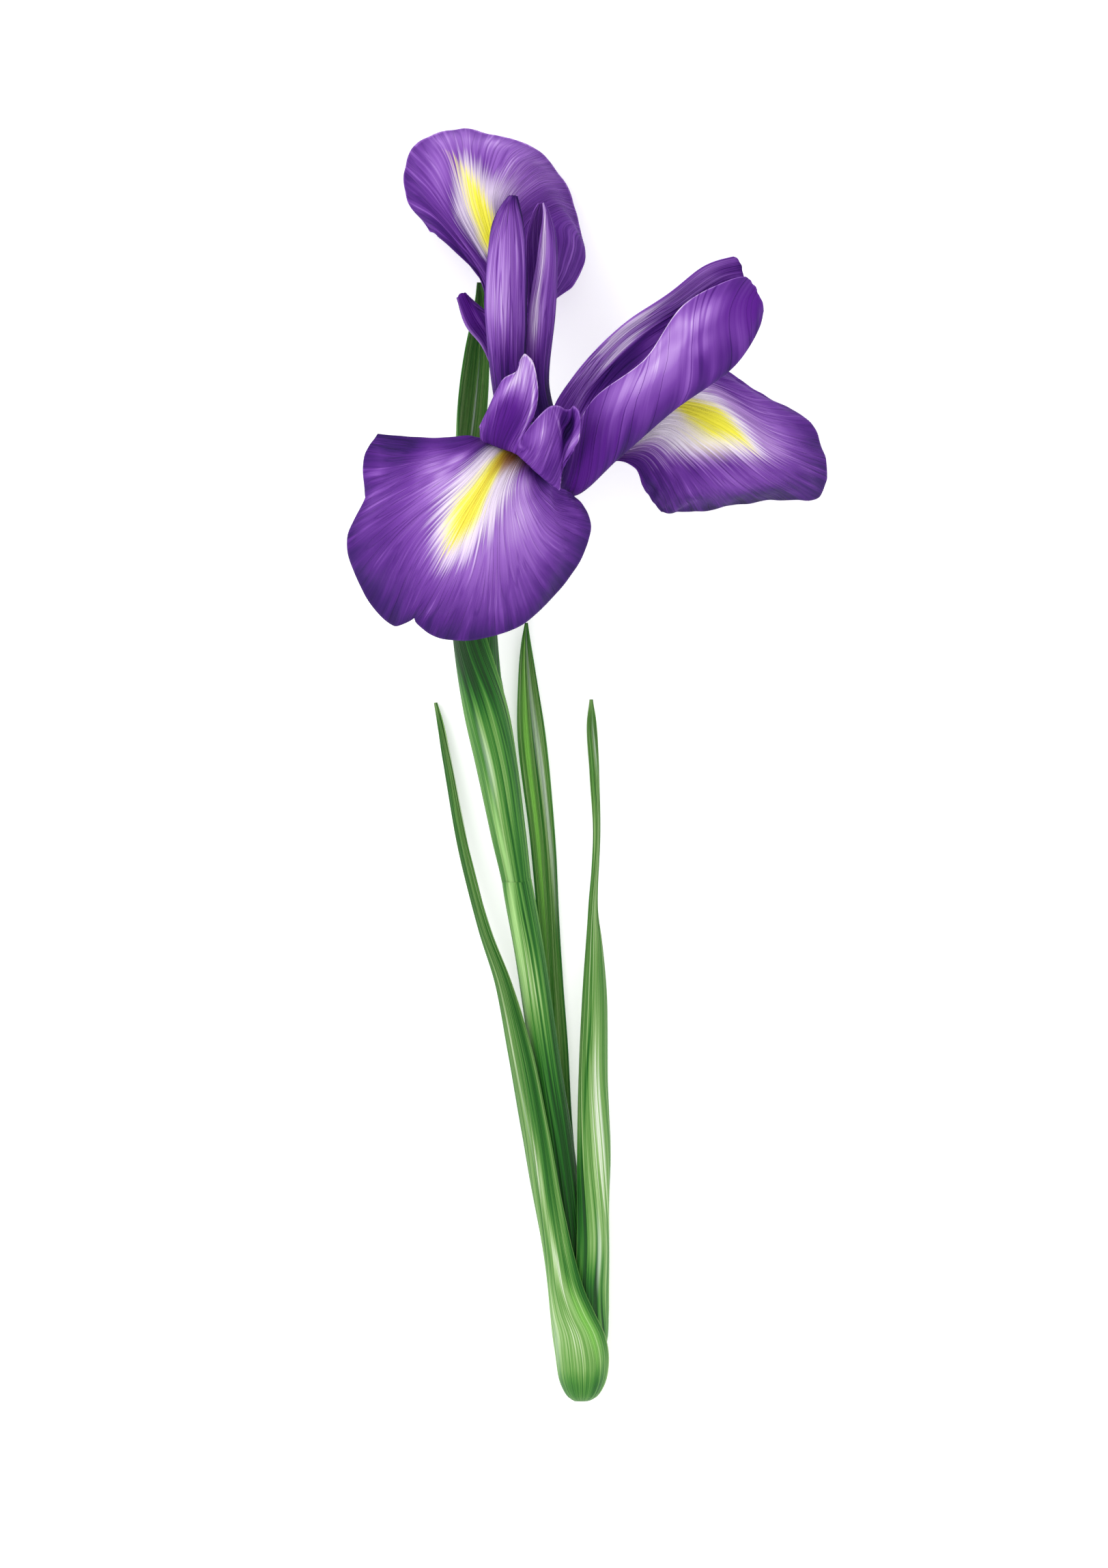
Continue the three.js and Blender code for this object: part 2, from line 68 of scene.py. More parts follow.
def put(name, data):
    """A new object, placed in the scene."""
    thing = bpy.data.objects.new(name, data)
    bpy.context.scene.collection.objects.link(thing)
    return thing


def look_down():
    camera = put("camera", bpy.data.cameras.new("camera"))
    camera.data.sensor_width = SENSOR
    camera.data.lens = SENSOR * CAMERA_DISTANCE / FRAME_HEIGHT
    camera.data.clip_end = 3 * CAMERA_DISTANCE
    camera.location = (*FRAME_MIDDLE, PETAL_HEIGHT + CAMERA_DISTANCE)
    bpy.context.scene.camera = camera
    return camera


print("lens in millimetres:", round(look_down().data.lens))

# %% [markdown]
# ## The table
#
# The picture has a plain white ground. A wide pale sheet makes the table, and it glows a
# little, as a photographer's light table does, so that shadows on it stay faint. A white
# background with no table would be simpler, but with no shadow at all the flower would
# seem to float.

# %% Table
TABLE_SIZE = 6.0
TABLE_GLOW = 0.3
WHITE = (1.0, 1.0, 1.0, 1.0)


def paint(code):
    """A colour written as #rrggbb, as linear red, green, blue and alpha."""
    parts = [int(code[k:k + 2], 16) / 255 for k in (1, 3, 5)]
    linear = [p / 12.92 if p <= 0.04045 else ((p + 0.055) / 1.055) ** 2.4 for p in parts]
    return (*linear, 1.0)


def pale_table():
    half = TABLE_SIZE / 2
    mesh = bpy.data.meshes.new("table")
    corners = [(-half, -half, 0), (half, -half, 0), (half, half, 0), (-half, half, 0)]
    mesh.from_pydata(corners, [], [(0, 1, 2, 3)])
    finish = bpy.data.materials.new("pale_table")
    finish.use_nodes = True
    shader = finish.node_tree.nodes["Principled BSDF"]
    shader.inputs["Base Color"].default_value = paint("#fbfbfb")
    shader.inputs["Roughness"].default_value = 0.9
    shader.inputs["Specular IOR Level"].default_value = 0.1
    shader.inputs["Emission Color"].default_value = WHITE
    shader.inputs["Emission Strength"].default_value = TABLE_GLOW
    mesh.materials.append(finish)
    table = put("table", mesh)
    return table


print("table:", pale_table().name)

# %% [markdown]
# ## The light
#
# A soft light comes from the upper left of the picture. A white sky gives even light, and
# one large lamp on the left gives the petals their form. A weaker one in front lifts the
# darkest folds. A small lamp would throw hard shadows that the picture lacks. The standard
# view keeps violet and yellow as clear as paint.

# %% Light
SKY = 1.12
LAMPS = {
    "window": {"place": (-1.3, 0.9, 1.6), "size": 1.2, "power": 12.0},
    "front": {"place": (0.2, -1.6, 1.2), "size": 1.2, "power": 4.0},
}


def light_the_table():
    world = bpy.data.worlds.new("white_sky")
    world.use_nodes = True
    sky = world.node_tree.nodes["Background"]
    sky.inputs["Color"].default_value = WHITE
    sky.inputs["Strength"].default_value = SKY
    bpy.context.scene.world = world
    for name, lamp in LAMPS.items():
        data = bpy.data.lights.new(name, "AREA")
        data.size = lamp["size"]
        data.energy = lamp["power"]
        light = put(name, data)
        light.location = lamp["place"]
        light.rotation_euler = (-Vector(lamp["place"])).to_track_quat("-Z", "Y").to_euler()
        light.visible_camera = False
    bpy.context.scene.view_settings.view_transform = "Standard"


light_the_table()
print("lamps:", ", ".join(LAMPS))

# %% [markdown]
# ## Smooth curves through a few points
#
# A petal is described by a few lines of points across it. The curve used here passes
# through every one of them and never loops, even where the points crowd, because its pace
# follows the square root of their distances. Curves with handles would need two more
# points at each one.

# %% Curves
SAME_POINT = 1e-4


def curve_through(points, places):
    """Points of a smooth curve through the given points, at places from 0 to 1."""
    points = np.asarray(points, float)
    before = 2 * points[0] - points[1]
    after = 2 * points[-1] - points[-2]
    ends = np.concatenate([[before], points, [after]])
    position = np.clip(places, 0, 1) * (len(points) - 1)
    span = np.minimum(position.astype(int), len(points) - 2)
    a, b, c, d = (ends[span + k] for k in range(4))
    ab, bc, cd = knots(a, b, c, d)
    leaving = ((b - a) / ab - (c - a) / (ab + bc) + (c - b) / bc) * bc
    arriving = ((c - b) / bc - (d - b) / (bc + cd) + (d - c) / cd) * bc
    w = (position - span).reshape(-1, *([1] * (points.ndim - 1)))
    square = 3 * (c - b) - 2 * leaving - arriving
    cube = 2 * (b - c) + leaving + arriving
    return b + leaving * w + square * w**2 + cube * w**3


def knots(a, b, c, d):
    """The spans between four points: square roots of their distances. Where two points
    are one, another span stands in."""
    pairs = ((a, b), (b, c), (c, d))
    ab, bc, cd = (np.sum((q - p) ** 2, axis=-1, keepdims=True) ** 0.25 for p, q in pairs)
    bc = np.where(bc < SAME_POINT, 1.0, bc)
    return np.where(ab < SAME_POINT, bc, ab), bc, np.where(cd < SAME_POINT, bc, cd)


def ease(low, high, value):
    """0 below low, 1 above high, and a smooth step between."""
    share = np.clip((value - low) / (high - low), 0, 1)
    return share * share * (3 - 2 * share)


trial = curve_through([[0, 0, 0], [1, 1, 0], [2, 0, 0]], np.array([0.5]))
print("a curve meets its middle point:", trial[0])

# %% [markdown]
# ## The mouth of the flower
#
# Everything in an iris grows from the mouth of a short tube over the ovary, in threes. The
# front fall stands at angle 0 round the mouth, the right fall at 120 degrees and the back
# fall at -120, with the three standards between them. Working round one axis puts every
# petal on its seat, seen from any side. All points are in millimetres, as a florist would
# measure a flower, and become metres when a mesh is made.

# %% Axes of the bloom
MOUTH = np.array([-11.4, 62.1, 34.0])
SEAT_GAP = 0.6


def unit(vector):
    """The same direction at length 1."""
    return np.asarray(vector, float) / np.linalg.norm(vector)


AXIS = unit([0.3, 0.75, 0.59])
front_lean = np.array([-0.35, -0.5, 0.79])
TOWARD_FRONT = unit(front_lean - front_lean @ AXIS * AXIS)
TOWARD_RIGHT = np.cross(AXIS, TOWARD_FRONT)


def radial(degrees):
    """The direction away from the axis at an angle round the mouth."""
    angle = math.radians(degrees)
    return TOWARD_FRONT * math.cos(angle) + TOWARD_RIGHT * math.sin(angle)


def place(degrees, radius, height):
    """A point at the mouth: its angle round it, distance from the axis and height."""
    return MOUTH + AXIS * height + radial(degrees) * radius


def seat(degrees, radius, width, rise):
    """Two lines of three points across the foot of a petal."""
    lines = []
    for height in (SEAT_GAP, SEAT_GAP + rise):
        centre = place(degrees, radius, height)
        lines.append([centre + radial(degrees + 90) * width * part for part in (-0.5, 0, 0.5)])
    return lines


print("the front fall starts at:", np.round(place(0, 4, SEAT_GAP), 1))

# %% [markdown]
# ## From lines of points to a petal
#
# A petal's surface is a grid: rows run across it and columns run from its foot to its rim.
# The rows are spaced by their real distance, so that a pattern isn't stretched. The grid
# knows how far across (0 to 1) and how far along (0 to 1) each point lies, and veins follow
# these two numbers. Subdividing the coarse solid would be shorter, but it would give no
# such numbers.

# %% Petal surface
FINE_ROWS = 600


def surface(rings, rows, columns, reach=1.0):
    """A grid of points through the rings, and how far across and along each one lies.
    Reach is how far each column goes, where 1 is the last ring."""
    places = np.linspace(0, 1, columns + 1)
    lines = np.stack([curve_through(ring, places) for ring in rings])
    fine = curve_through(lines, np.linspace(0, 1, FINE_ROWS))
    steps = np.linalg.norm(np.diff(fine, axis=0), axis=2).mean(axis=1)
    distance = np.concatenate([[0], np.cumsum(steps)])
    along = np.linspace(0, 1, rows + 1)[:, None] * (reach * np.ones(columns + 1))
    row = np.interp(along, distance / distance[-1], np.arange(FINE_ROWS))
    below = np.minimum(row.astype(int), FINE_ROWS - 2)
    column = np.arange(columns + 1)[None]
    part = (row - below)[..., None]
    grid = fine[below, column] * (1 - part) + fine[below + 1, column] * part
    return grid, np.repeat(places[None], rows + 1, 0), along


def outward(grid):
    """The direction that the inner face of each point looks in."""
    direction = np.cross(np.gradient(grid, axis=0), np.gradient(grid, axis=1))
    return direction / np.maximum(np.linalg.norm(direction, axis=2, keepdims=True), 1e-9)


def rim_distance(across, along):
    """How far a point lies from the free rim: 0 on the rim and 0.5 in the middle."""
    return np.minimum(np.minimum(across, 1 - across), 1 - along)


trial = surface([[[0, 0, 0], [1, 0, 0]], [[0, 1, 0], [1, 1, 0]]], 4, 4)[0]
print("a trial surface of", trial.shape[0], "by", trial.shape[1], "points")


# %% [markdown]
# ## From a surface to a thin solid
#
# Real petals are thin, but not paper: they are fleshy at the foot and fine at the rim. The
# grid is copied to both sides of itself, and a narrow strip closes the edge. A Solidify
# modifier would do this with one thickness, while here it changes over the petal. The two
# faces have their own finishes, because an iris petal is marked on its inner face only. A
# map, the petal chart, carries across and along into the finish.

# %% Thin piece
MM = 0.001
CHART = "petal_chart"


def quads(a, b, c, d):
    """Faces of four corners, each corner given as an array of point numbers."""
    return np.stack([a.ravel(), b.ravel(), c.ravel(), d.ravel()], axis=1)


def thin_piece(name, grid, across, along, thickness, finishes):
    """A closed mesh on both sides of a grid. Face 0 looks outward, face 1 the other way.
    No point goes below the table."""
    rows, columns = grid.shape[:2]
    offset = outward(grid) * (thickness / 2)[..., None]
    points = np.concatenate([(grid + offset).reshape(-1, 3), (grid - offset).reshape(-1, 3)])
    points[:, 2] = np.maximum(points[:, 2], 0)
    index = np.arange(rows * columns).reshape(rows, columns)
    back = index + rows * columns
    front_faces = quads(index[:-1, :-1], index[1:, :-1], index[1:, 1:], index[:-1, 1:])
    back_faces = quads(back[:-1, :-1], back[:-1, 1:], back[1:, 1:], back[1:, :-1])
    edge = np.concatenate([index[:, 0], index[-1, 1:], index[::-1, -1][1:], index[0, ::-1][1:]])
    edge_back = edge + rows * columns
    rim_faces = quads(edge[:-1], edge_back[:-1], edge_back[1:], edge[1:])
    faces = np.concatenate([front_faces, back_faces, rim_faces])
    mesh = bpy.data.meshes.new(name)
    mesh.from_pydata((points * MM).tolist(), [], faces.tolist())
    slots = np.repeat([0, 1, 0], [len(front_faces), len(back_faces), len(rim_faces)])
    smooth = np.repeat([True, True, False], [len(front_faces), len(back_faces), len(rim_faces)])
    mesh.polygons.foreach_set("material_index", slots.astype(np.int32))
    mesh.polygons.foreach_set("use_smooth", smooth)
    corner = np.empty(len(mesh.loops), np.int32)
    mesh.loops.foreach_get("vertex_index", corner)
    flat = np.tile(np.stack([across.ravel(), along.ravel()], axis=1), (2, 1))
    chart = mesh.uv_layers.new(name=CHART)
    chart.data.foreach_set("uv", flat[corner].astype(np.float32).ravel())
    for finish in finishes:
        mesh.materials.append(finish)
    return put(name, mesh)


def stand_for(piece, node):
    """The piece takes the place of a solid, and lies still with the rest of the flower."""
    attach(piece, "root")
    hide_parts(node)
    print(node, "has", len(piece.data.polygons), "faces")


print("one face of four corners:", quads(*np.arange(4).reshape(4, 1))[0])

# %% [markdown]
# ## A few words for the shader
#
# Every finish below is a small sum: a streak here, a mark there, one colour over another.
# These helpers each add one node to a material or group, so that a recipe reads like the
# sum that it is. The nodes could be wired by hand in the editor just as well.

# %% Shader words


def feed(tree, socket, term):
    """A term is a number, a colour or another node's output."""
    if isinstance(term, bpy.types.NodeSocket):
        tree.links.new(term, socket)
    else:
        socket.default_value = term


def sum_of(tree, operation, *terms):
    """One step of arithmetic, such as ADD or MULTIPLY."""
    node = tree.nodes.new("ShaderNodeMath")
    node.operation = operation
    for socket, term in zip(node.inputs, terms):
        feed(tree, socket, term)
    return node.outputs[0]


def less(tree, value):
    """What is left of 1."""
    return sum_of(tree, "SUBTRACT", 1.0, value)


def shifted(tree, level, mask, strength):
    """A tone moved up by a mask, or down where the strength is below 0."""
    return sum_of(tree, "MULTIPLY_ADD", mask, strength, level)


def step_of(tree, value, low, high):
    """A smooth step: 0 below low and 1 above high."""
    node = tree.nodes.new("ShaderNodeMapRange")
    node.interpolation_type = "SMOOTHSTEP"
    feed(tree, node.inputs["Value"], value)
    feed(tree, node.inputs["From Min"], low)
    feed(tree, node.inputs["From Max"], high)
    return node.outputs["Result"]


def blend_of(tree, share, first, second):
    """The second colour laid over the first by a share."""
    node = tree.nodes.new("ShaderNodeMix")
    node.data_type = "RGBA"
    factor, first_colour, second_colour = (node.inputs[k] for k in (0, 6, 7))
    feed(tree, factor, share)
    feed(tree, first_colour, first)
    feed(tree, second_colour, second)
    return node.outputs[2]


def ramp_of(tree, value, stops):
    """Colours along a value: stops are pairs of a place and a colour."""
    node = tree.nodes.new("ShaderNodeValToRGB")
    band = node.color_ramp
    while len(band.elements) < len(stops):
        band.elements.new(1.0)
    for element, (position, code) in zip(band.elements, stops):
        element.position = position
        element.color = paint(code)
    feed(tree, node.inputs["Fac"], value)
    return node.outputs["Color"]


def noise_of(tree, x, y, z, detail, roughness):
    """Soft noise at a point of its own space, between about 0.2 and 0.8."""
    joined = tree.nodes.new("ShaderNodeCombineXYZ")
    for socket, term in zip(joined.inputs, (x, y, z)):
        feed(tree, socket, term)
    node = tree.nodes.new("ShaderNodeTexNoise")
    node.inputs["Scale"].default_value = 1.0
    node.inputs["Detail"].default_value = detail
    node.inputs["Roughness"].default_value = roughness
    tree.links.new(joined.outputs[0], node.inputs["Vector"])
    return node.outputs["Fac"]


def new_group(name, inputs, outputs):
    """An empty node group with named number sockets, and its two end nodes."""
    group = bpy.data.node_groups.new(name, "ShaderNodeTree")
    for label, value in inputs.items():
        socket = group.interface.new_socket(label, in_out="INPUT", socket_type="NodeSocketFloat")
        socket.default_value = value
    for label in outputs:
        group.interface.new_socket(label, in_out="OUTPUT", socket_type="NodeSocketFloat")
    start = group.nodes.new("NodeGroupInput")
    end = group.nodes.new("NodeGroupOutput")
    return group, start.outputs, end.inputs


def use_group(tree, group, **terms):
    """Places a group in a material, with a term for each named socket."""
    node = tree.nodes.new("ShaderNodeGroup")
    node.node_tree = group
    for label, term in terms.items():
        feed(tree, node.inputs[label], term)
    return node.outputs


print("paint #f6ee30 in linear colour:", np.round(paint("#f6ee30"), 2))

# %% [markdown]
# ## Veins and streaks
#
# The veins of an iris petal start close together at its foot and fan out to the rim. Noise
# that is squeezed across the petal and drawn out along it makes soft streaks. Where such
# noise crosses its middle value lies a thin line that forks and joins as a vein does. A
# wave texture would be simpler, but its lines never fork. Slant lets the lines run toward
# one side as they go along.

# %% Streaks group
STREAK_SOCKETS = {
    "Across": 0.5, "Along": 0.5, "Count": 40.0, "Run": 3.0, "Slant": 0.0, "Seed": 0.0,
    "Line": 0.045,
}
# Of each kind of streak: how much finer it is, its own seed, the detail and roughness of
# its noise, and the noise values between which it rises from 0 to 1.
STREAK_KINDS = {
    "Streak": (1.0, 0.0, 3.0, 0.55, 0.3, 0.7),
    "Fine": (3.1, 23.0, 2.0, 0.5, 0.35, 0.65),
    "Wash": (0.16, 37.0, 1.0, 0.5, 0.3, 0.7),
}
VEIN_SEED = 11.0


def make_streaks():
    group, given, made = new_group("petal_streaks", STREAK_SOCKETS, ["Vein", *STREAK_KINDS])
    slanted = shifted(group, given["Across"], given["Along"], given["Slant"])
    x = sum_of(group, "MULTIPLY", slanted, given["Count"])
    y = sum_of(group, "MULTIPLY", given["Along"], given["Run"])
    for label, (finer, own_seed, detail, roughness, low, high) in STREAK_KINDS.items():
        finer_x = sum_of(group, "MULTIPLY", x, finer)
        seed = sum_of(group, "ADD", given["Seed"], own_seed)
        noise = noise_of(group, finer_x, y, seed, detail, roughness)
        group.links.new(step_of(group, noise, low, high), made[label])
    forks = noise_of(group, x, y, sum_of(group, "ADD", given["Seed"], VEIN_SEED), 1.0, 0.4)
    off_line = sum_of(group, "ABSOLUTE", sum_of(group, "SUBTRACT", forks, 0.5))
    vein = less(group, step_of(group, off_line, 0.0, given["Line"]))
    group.links.new(vein, made["Vein"])
    return group


STREAKS = make_streaks()
print("made the group", STREAKS.name)

# %% [markdown]
# ## Marks on a petal
#
# An iris shows a bee the way in with a yellow signal on a white halo. Both are wedges:
# wide over the throat and ending in a point toward the rim. The edge of each wedge is
# feathered by the same streaks that colour the petal, so it looks brushed outward. A
# second group makes soft patches of lighter or darker colour, for marks and for painted
# light and shade, and a third one finds the rim. They use only how far across and along a
# point lies, so they follow any petal.

# %% Wedge, patch and rim groups
SPOT = {"Across": 0.5, "Along": 0.5, "Streak": 0.5, "Feather": 0.1}


def ragged(group, given):
    """How far a streak pushes the edge of a mark out or in."""
    return sum_of(group, "MULTIPLY", sum_of(group, "SUBTRACT", given["Streak"], 0.5),
                  given["Feather"])


def make_wedge():
    shape = {"Middle": 0.5, "Lean": 0.0, "Start": -1.0, "Rise": 9.0, "Tip": 0.7, "Spread": 0.5}
    group, given, made = new_group("petal_wedge", {**SPOT, **shape, "Widest": 0.2}, ["Mask"])
    to_tip = sum_of(group, "SUBTRACT", given["Tip"], given["Along"])
    from_start = sum_of(group, "SUBTRACT", given["Along"], given["Start"])
    toward_tip = sum_of(group, "MULTIPLY", to_tip, given["Spread"])
    toward_start = sum_of(group, "MULTIPLY", from_start, given["Rise"])
    half = sum_of(group, "MINIMUM", toward_tip, toward_start)
    half = sum_of(group, "MINIMUM", half, given["Widest"])
    middle = shifted(group, given["Middle"], to_tip, given["Lean"])
    off = sum_of(group, "ABSOLUTE", sum_of(group, "SUBTRACT", given["Across"], middle))
    inside = sum_of(group, "ADD", sum_of(group, "SUBTRACT", half, off), ragged(group, given))
    soft = given["Feather"]
    mask = step_of(group, inside, sum_of(group, "MULTIPLY", soft, -1.0), soft)
    group.links.new(mask, made["Mask"])
    return group


def make_patch():
    shape = {"Middle": 0.5, "Height": 0.5, "Width": 0.2, "Length": 0.2, "Lean": 0.0}
    group, given, made = new_group("petal_patch", {**SPOT, **shape}, ["Mask"])
    up = sum_of(group, "SUBTRACT", given["Along"], given["Height"])
    middle = shifted(group, given["Middle"], up, given["Lean"])
    off = sum_of(group, "SUBTRACT", given["Across"], middle)
    x = sum_of(group, "DIVIDE", off, given["Width"])
    y = sum_of(group, "DIVIDE", up, given["Length"])
    square = sum_of(group, "MULTIPLY_ADD", x, x, sum_of(group, "MULTIPLY", y, y))
    reach = sum_of(group, "ADD", sum_of(group, "SQRT", square), ragged(group, given))
    group.links.new(less(group, step_of(group, reach, 0.0, 1.0)), made["Mask"])
    return group


def make_rim():
    group, given, made = new_group("petal_rim", {**SPOT, "Width": 0.05}, ["Mask"])
    side = sum_of(group, "MINIMUM", given["Across"], less(group, given["Across"]))
    reach = sum_of(group, "MINIMUM", side, less(group, given["Along"]))
    reach = shifted(group, reach, ragged(group, given), given["Width"])
    edge = step_of(group, reach, 0.0, given["Width"])
    group.links.new(less(group, edge), made["Mask"])
    return group


WEDGE, PATCH, RIM = make_wedge(), make_patch(), make_rim()
print("mark groups:", WEDGE.name, PATCH.name, RIM.name)

# %% [markdown]
# ## What every finish is made of
#
# Petals and leaves share these steps. A finish reads the petal chart, moves one number, its
# tone, up and down by lines, patches and rims, and turns the tone into a colour. Then it
# lays the coloured marks over that. Many of the patches and rims are painted light and
# shade. Working on a tone first keeps all shades of a petal in one family, which mixing
# many colours wouldn't.

# %% Parts of a finish
PATCH_SHAPE = ("Middle", "Height", "Width", "Length", "Lean")


def new_finish(name, roughness, gloss):
    """A material with its nodes and its shader."""
    finish = bpy.data.materials.new(name)
    finish.use_nodes = True
    shader = finish.node_tree.nodes["Principled BSDF"]
    shader.inputs["Roughness"].default_value = roughness
    shader.inputs["Specular IOR Level"].default_value = gloss
    return finish, finish.node_tree, shader


def read_chart(tree):
    """How far across and how far along its piece a point lies."""
    chart = tree.nodes.new("ShaderNodeUVMap")
    chart.uv_map = CHART
    split = tree.nodes.new("ShaderNodeSeparateXYZ")
    tree.links.new(chart.outputs["UV"], split.inputs[0])
    return split.outputs[0], split.outputs[1]


def raise_lines(tree, shader, height, distance):
    """Lets the light see lines as raised, by up to a distance in metres."""
    bump = tree.nodes.new("ShaderNodeBump")
    bump.inputs["Strength"].default_value = 1.0
    bump.inputs["Distance"].default_value = distance
    tree.links.new(height, bump.inputs["Height"])
    tree.links.new(bump.outputs["Normal"], shader.inputs["Normal"])


def lined(tree, level, lines, depths):
    """Moves a tone by each kind of line."""
    for label, depth in depths.items():
        level = shifted(tree, level, lines[label], depth)
    return level


def toned(tree, spot, level, patches, rims):
    """Moves a tone by patches (strength, middle, height, width, length and lean) and rims
    (strength and width)."""
    for strength, *shape in patches:
        mask = use_group(tree, PATCH, **spot, **dict(zip(PATCH_SHAPE, shape)))["Mask"]
        level = shifted(tree, level, mask, strength)
    for strength, width in rims:
        edge = use_group(tree, RIM, **spot, Width=width)["Mask"]
        level = shifted(tree, level, edge, strength)
    return level


def marked(tree, spot, colour, marks):
    """Lays marks over a colour: each has a colour, a group, a strength and its shape."""
    for code, group, strength, shape in marks:
        mask = use_group(tree, group, **{**spot, **shape})["Mask"]
        share = sum_of(tree, "MULTIPLY", mask, strength)
        colour = blend_of(tree, share, colour, paint(code))
    return colour


def turned(tree, where, from_side, to_side):
    """Lets the lines turn, between two places across, until they follow the rim."""
    across, along = where["Across"], where["Along"]
    share = step_of(tree, across, from_side, to_side)
    off_across = sum_of(tree, "SUBTRACT", sum_of(tree, "MULTIPLY", along, -1.0), across)
    off_along = sum_of(tree, "SUBTRACT", across, along)
    return {"Across": shifted(tree, across, share, off_across),
            "Along": shifted(tree, along, share, off_along)}


print("the shape of a patch:", ", ".join(PATCH_SHAPE))

# %% [markdown]
# ## The violet of the petals
#
# Iris petals hold one violet pigment. So each petal has one tone, from 0, darkest, to 1,
# palest, and one band of colours turns the tone into violet. The tone carries the pigment's
# shades and painted light and shade alike. A pale glint, a painted highlight, lies where a
# streak and a fine line meet. A petal is velvety, so its finish is rough with little gloss.

# %% Petal finish
VIOLETS = [
    (0.0, "#1d0540"), (0.2, "#340d60"), (0.4, "#4f1c7c"), (0.58, "#6b3798"), (0.75, "#8c5bb6"),
    (0.88, "#ad85cf"), (1.0, "#dcc6ec"),
]
PETAL_ROUGHNESS = 0.7
PETAL_GLOSS = 0.14
PETAL_VEINS = {"Count": 46.0, "Run": 2.6}
PETAL_FEATHER = 0.35
STREAK_DEPTH, VEIN_DEPTH, WASH_DEPTH = 0.1, 0.06, 0.08
FINE_SHARE = 0.6
GLINT_DEPTH, GLINT_SHARPNESS = 0.14, 3.0
VEIN_HEIGHT = 0.0001
STREAK_RISE, VEIN_FALL = 0.6, -0.8


def petal_finish(name, look, seed):
    """A violet petal face. Its look gives a tone, veins, patches, rims and marks."""
    finish, tree, shader = new_finish(name, PETAL_ROUGHNESS, PETAL_GLOSS)
    across, along = read_chart(tree)
    where = {"Across": across, "Along": along}
    veins = {**PETAL_VEINS, **look.get("veins", {})}
    flow = turned(tree, where, *look["turned"]) if "turned" in look else where
    lines = use_group(tree, STREAKS, **flow, **veins, Seed=float(seed))
    streak, fine = lines["Streak"], lines["Fine"]
    depth = look.get("streak_depth", STREAK_DEPTH)
    depths = {"Streak": depth, "Fine": FINE_SHARE * depth, "Wash": WASH_DEPTH,
              "Vein": -look.get("vein_depth", VEIN_DEPTH)}
    level = lined(tree, look["tone"] - depth, lines, depths)
    # Painted highlight: pale glints where a streak and a fine line meet.
    both = sum_of(tree, "MULTIPLY", streak, fine)
    glint = sum_of(tree, "POWER", both, GLINT_SHARPNESS)
    level = shifted(tree, level, glint, GLINT_DEPTH)
    spot = {**where, "Streak": streak, "Feather": look.get("feather", PETAL_FEATHER)}
    level = toned(tree, spot, level, look.get("patches", []), look.get("rims", []))
    colour = ramp_of(tree, level, VIOLETS)
    colour = marked(tree, {**spot, "Streak": fine}, colour, look.get("marks", []))
    tree.links.new(colour, shader.inputs["Base Color"])
    height = shifted(tree, fine, streak, STREAK_RISE)
    height = shifted(tree, height, lines["Vein"], VEIN_FALL)
    raise_lines(tree, shader, height, VEIN_HEIGHT)
    return finish


print("steps from the darkest violet to the palest:", len(VIOLETS))

# %% [markdown]
# ## Small waves
#
# A petal is never as smooth as its outline. Its rim ruffles, faint pleats run along it,
# and here and there it is dented or nicked. These are made in the mesh, because a bump in
# the finish can't change an outline. The waves are sums of a few sines with a fixed seed, so
# that the flower grows the same way every time.

# %% Ruffles
UNEVEN, UNEVEN_WAVES = 0.003, 5
RIM_WAVES, LENGTH_WAVES, PLEATS = 4, 2.5, 9
THINNING = 0.22


def wobble(x, seed):
    """A smooth uneven wave between about -1 and 1, the same for the same seed."""
    shifts = np.random.default_rng(seed).random(3)
    parts = zip((1.0, 1.7, 2.9), (0.5, 0.3, 0.2), shifts)
    return sum(size * np.sin(2 * np.pi * (speed * x + shift)) for speed, size, shift in parts)


def uneven_reach(columns, nicks, seed):
    """How far each column of a petal reaches, short of 1 where its rim is nicked."""
    across = np.linspace(0, 1, columns + 1)
    reach = 1 - UNEVEN * (1 + wobble(across * UNEVEN_WAVES, seed))
    for middle, depth, width in nicks:
        reach = reach - depth * np.exp(-np.abs(across - middle) / width)
    return reach


def ruffled(grid, across, along, ruffle, pleat, seed):
    """Moves a surface a little up and down: most at the rim, and in faint pleats."""
    near_rim = ease(0.3, 0.0, rim_distance(across, along)) * ease(0.2, 0.6, along)
    wave = near_rim * wobble(across * RIM_WAVES + along * LENGTH_WAVES, seed)
    fold = ease(0.15, 0.6, along) * wobble(across * PLEATS, seed + 1)
    return grid + outward(grid) * (ruffle * wave + pleat * fold)[..., None]


def dented(grid, across, along, dents):
    """Presses soft dents into a surface. Their shape is given as for patches of tone."""
    push = 0
    for depth, middle, height, width, length, lean in dents:
        up = along - height
        reach = np.hypot((across - middle - lean * up) / width, up / length)
        push = push + depth * ease(1.0, 0.0, reach)
    return grid + outward(grid) * push[..., None] if dents else grid


def petal_sheet(made, foot, size, ruffle, pleat):
    """The grid of one petal on its foot, with its nicks, dents and waves."""
    rows, columns = size
    reach = uneven_reach(columns, made.get("nicks", []), made["seed"])
    grid, across, along = surface(foot + made["lines"], rows, columns, reach)
    grid = dented(grid, across, along, made.get("dents", []))
    return ruffled(grid, across, along, ruffle, pleat, made["seed"]), across, along


def thickness_of(across, along, full, thin):
    """Full in the middle of a petal and thin at its rim, in millimetres."""
    return thin + (full - thin) * ease(0.0, THINNING, rim_distance(across, along))


print("a nicked rim reaches", np.round(uneven_reach(8, [(0.5, 0.1, 0.02)], 1), 3))

# %% [markdown]
# ## The three falls
#
# The falls are the broad outer petals that hang. Each line of points below runs across
# one of them, from the haft, where it leaves the flower, to the rim. The front fall is
# seen almost flat and has two notches. The right fall leaves under a standard and its
# corner meets the table. The back fall lies behind the upright standards.

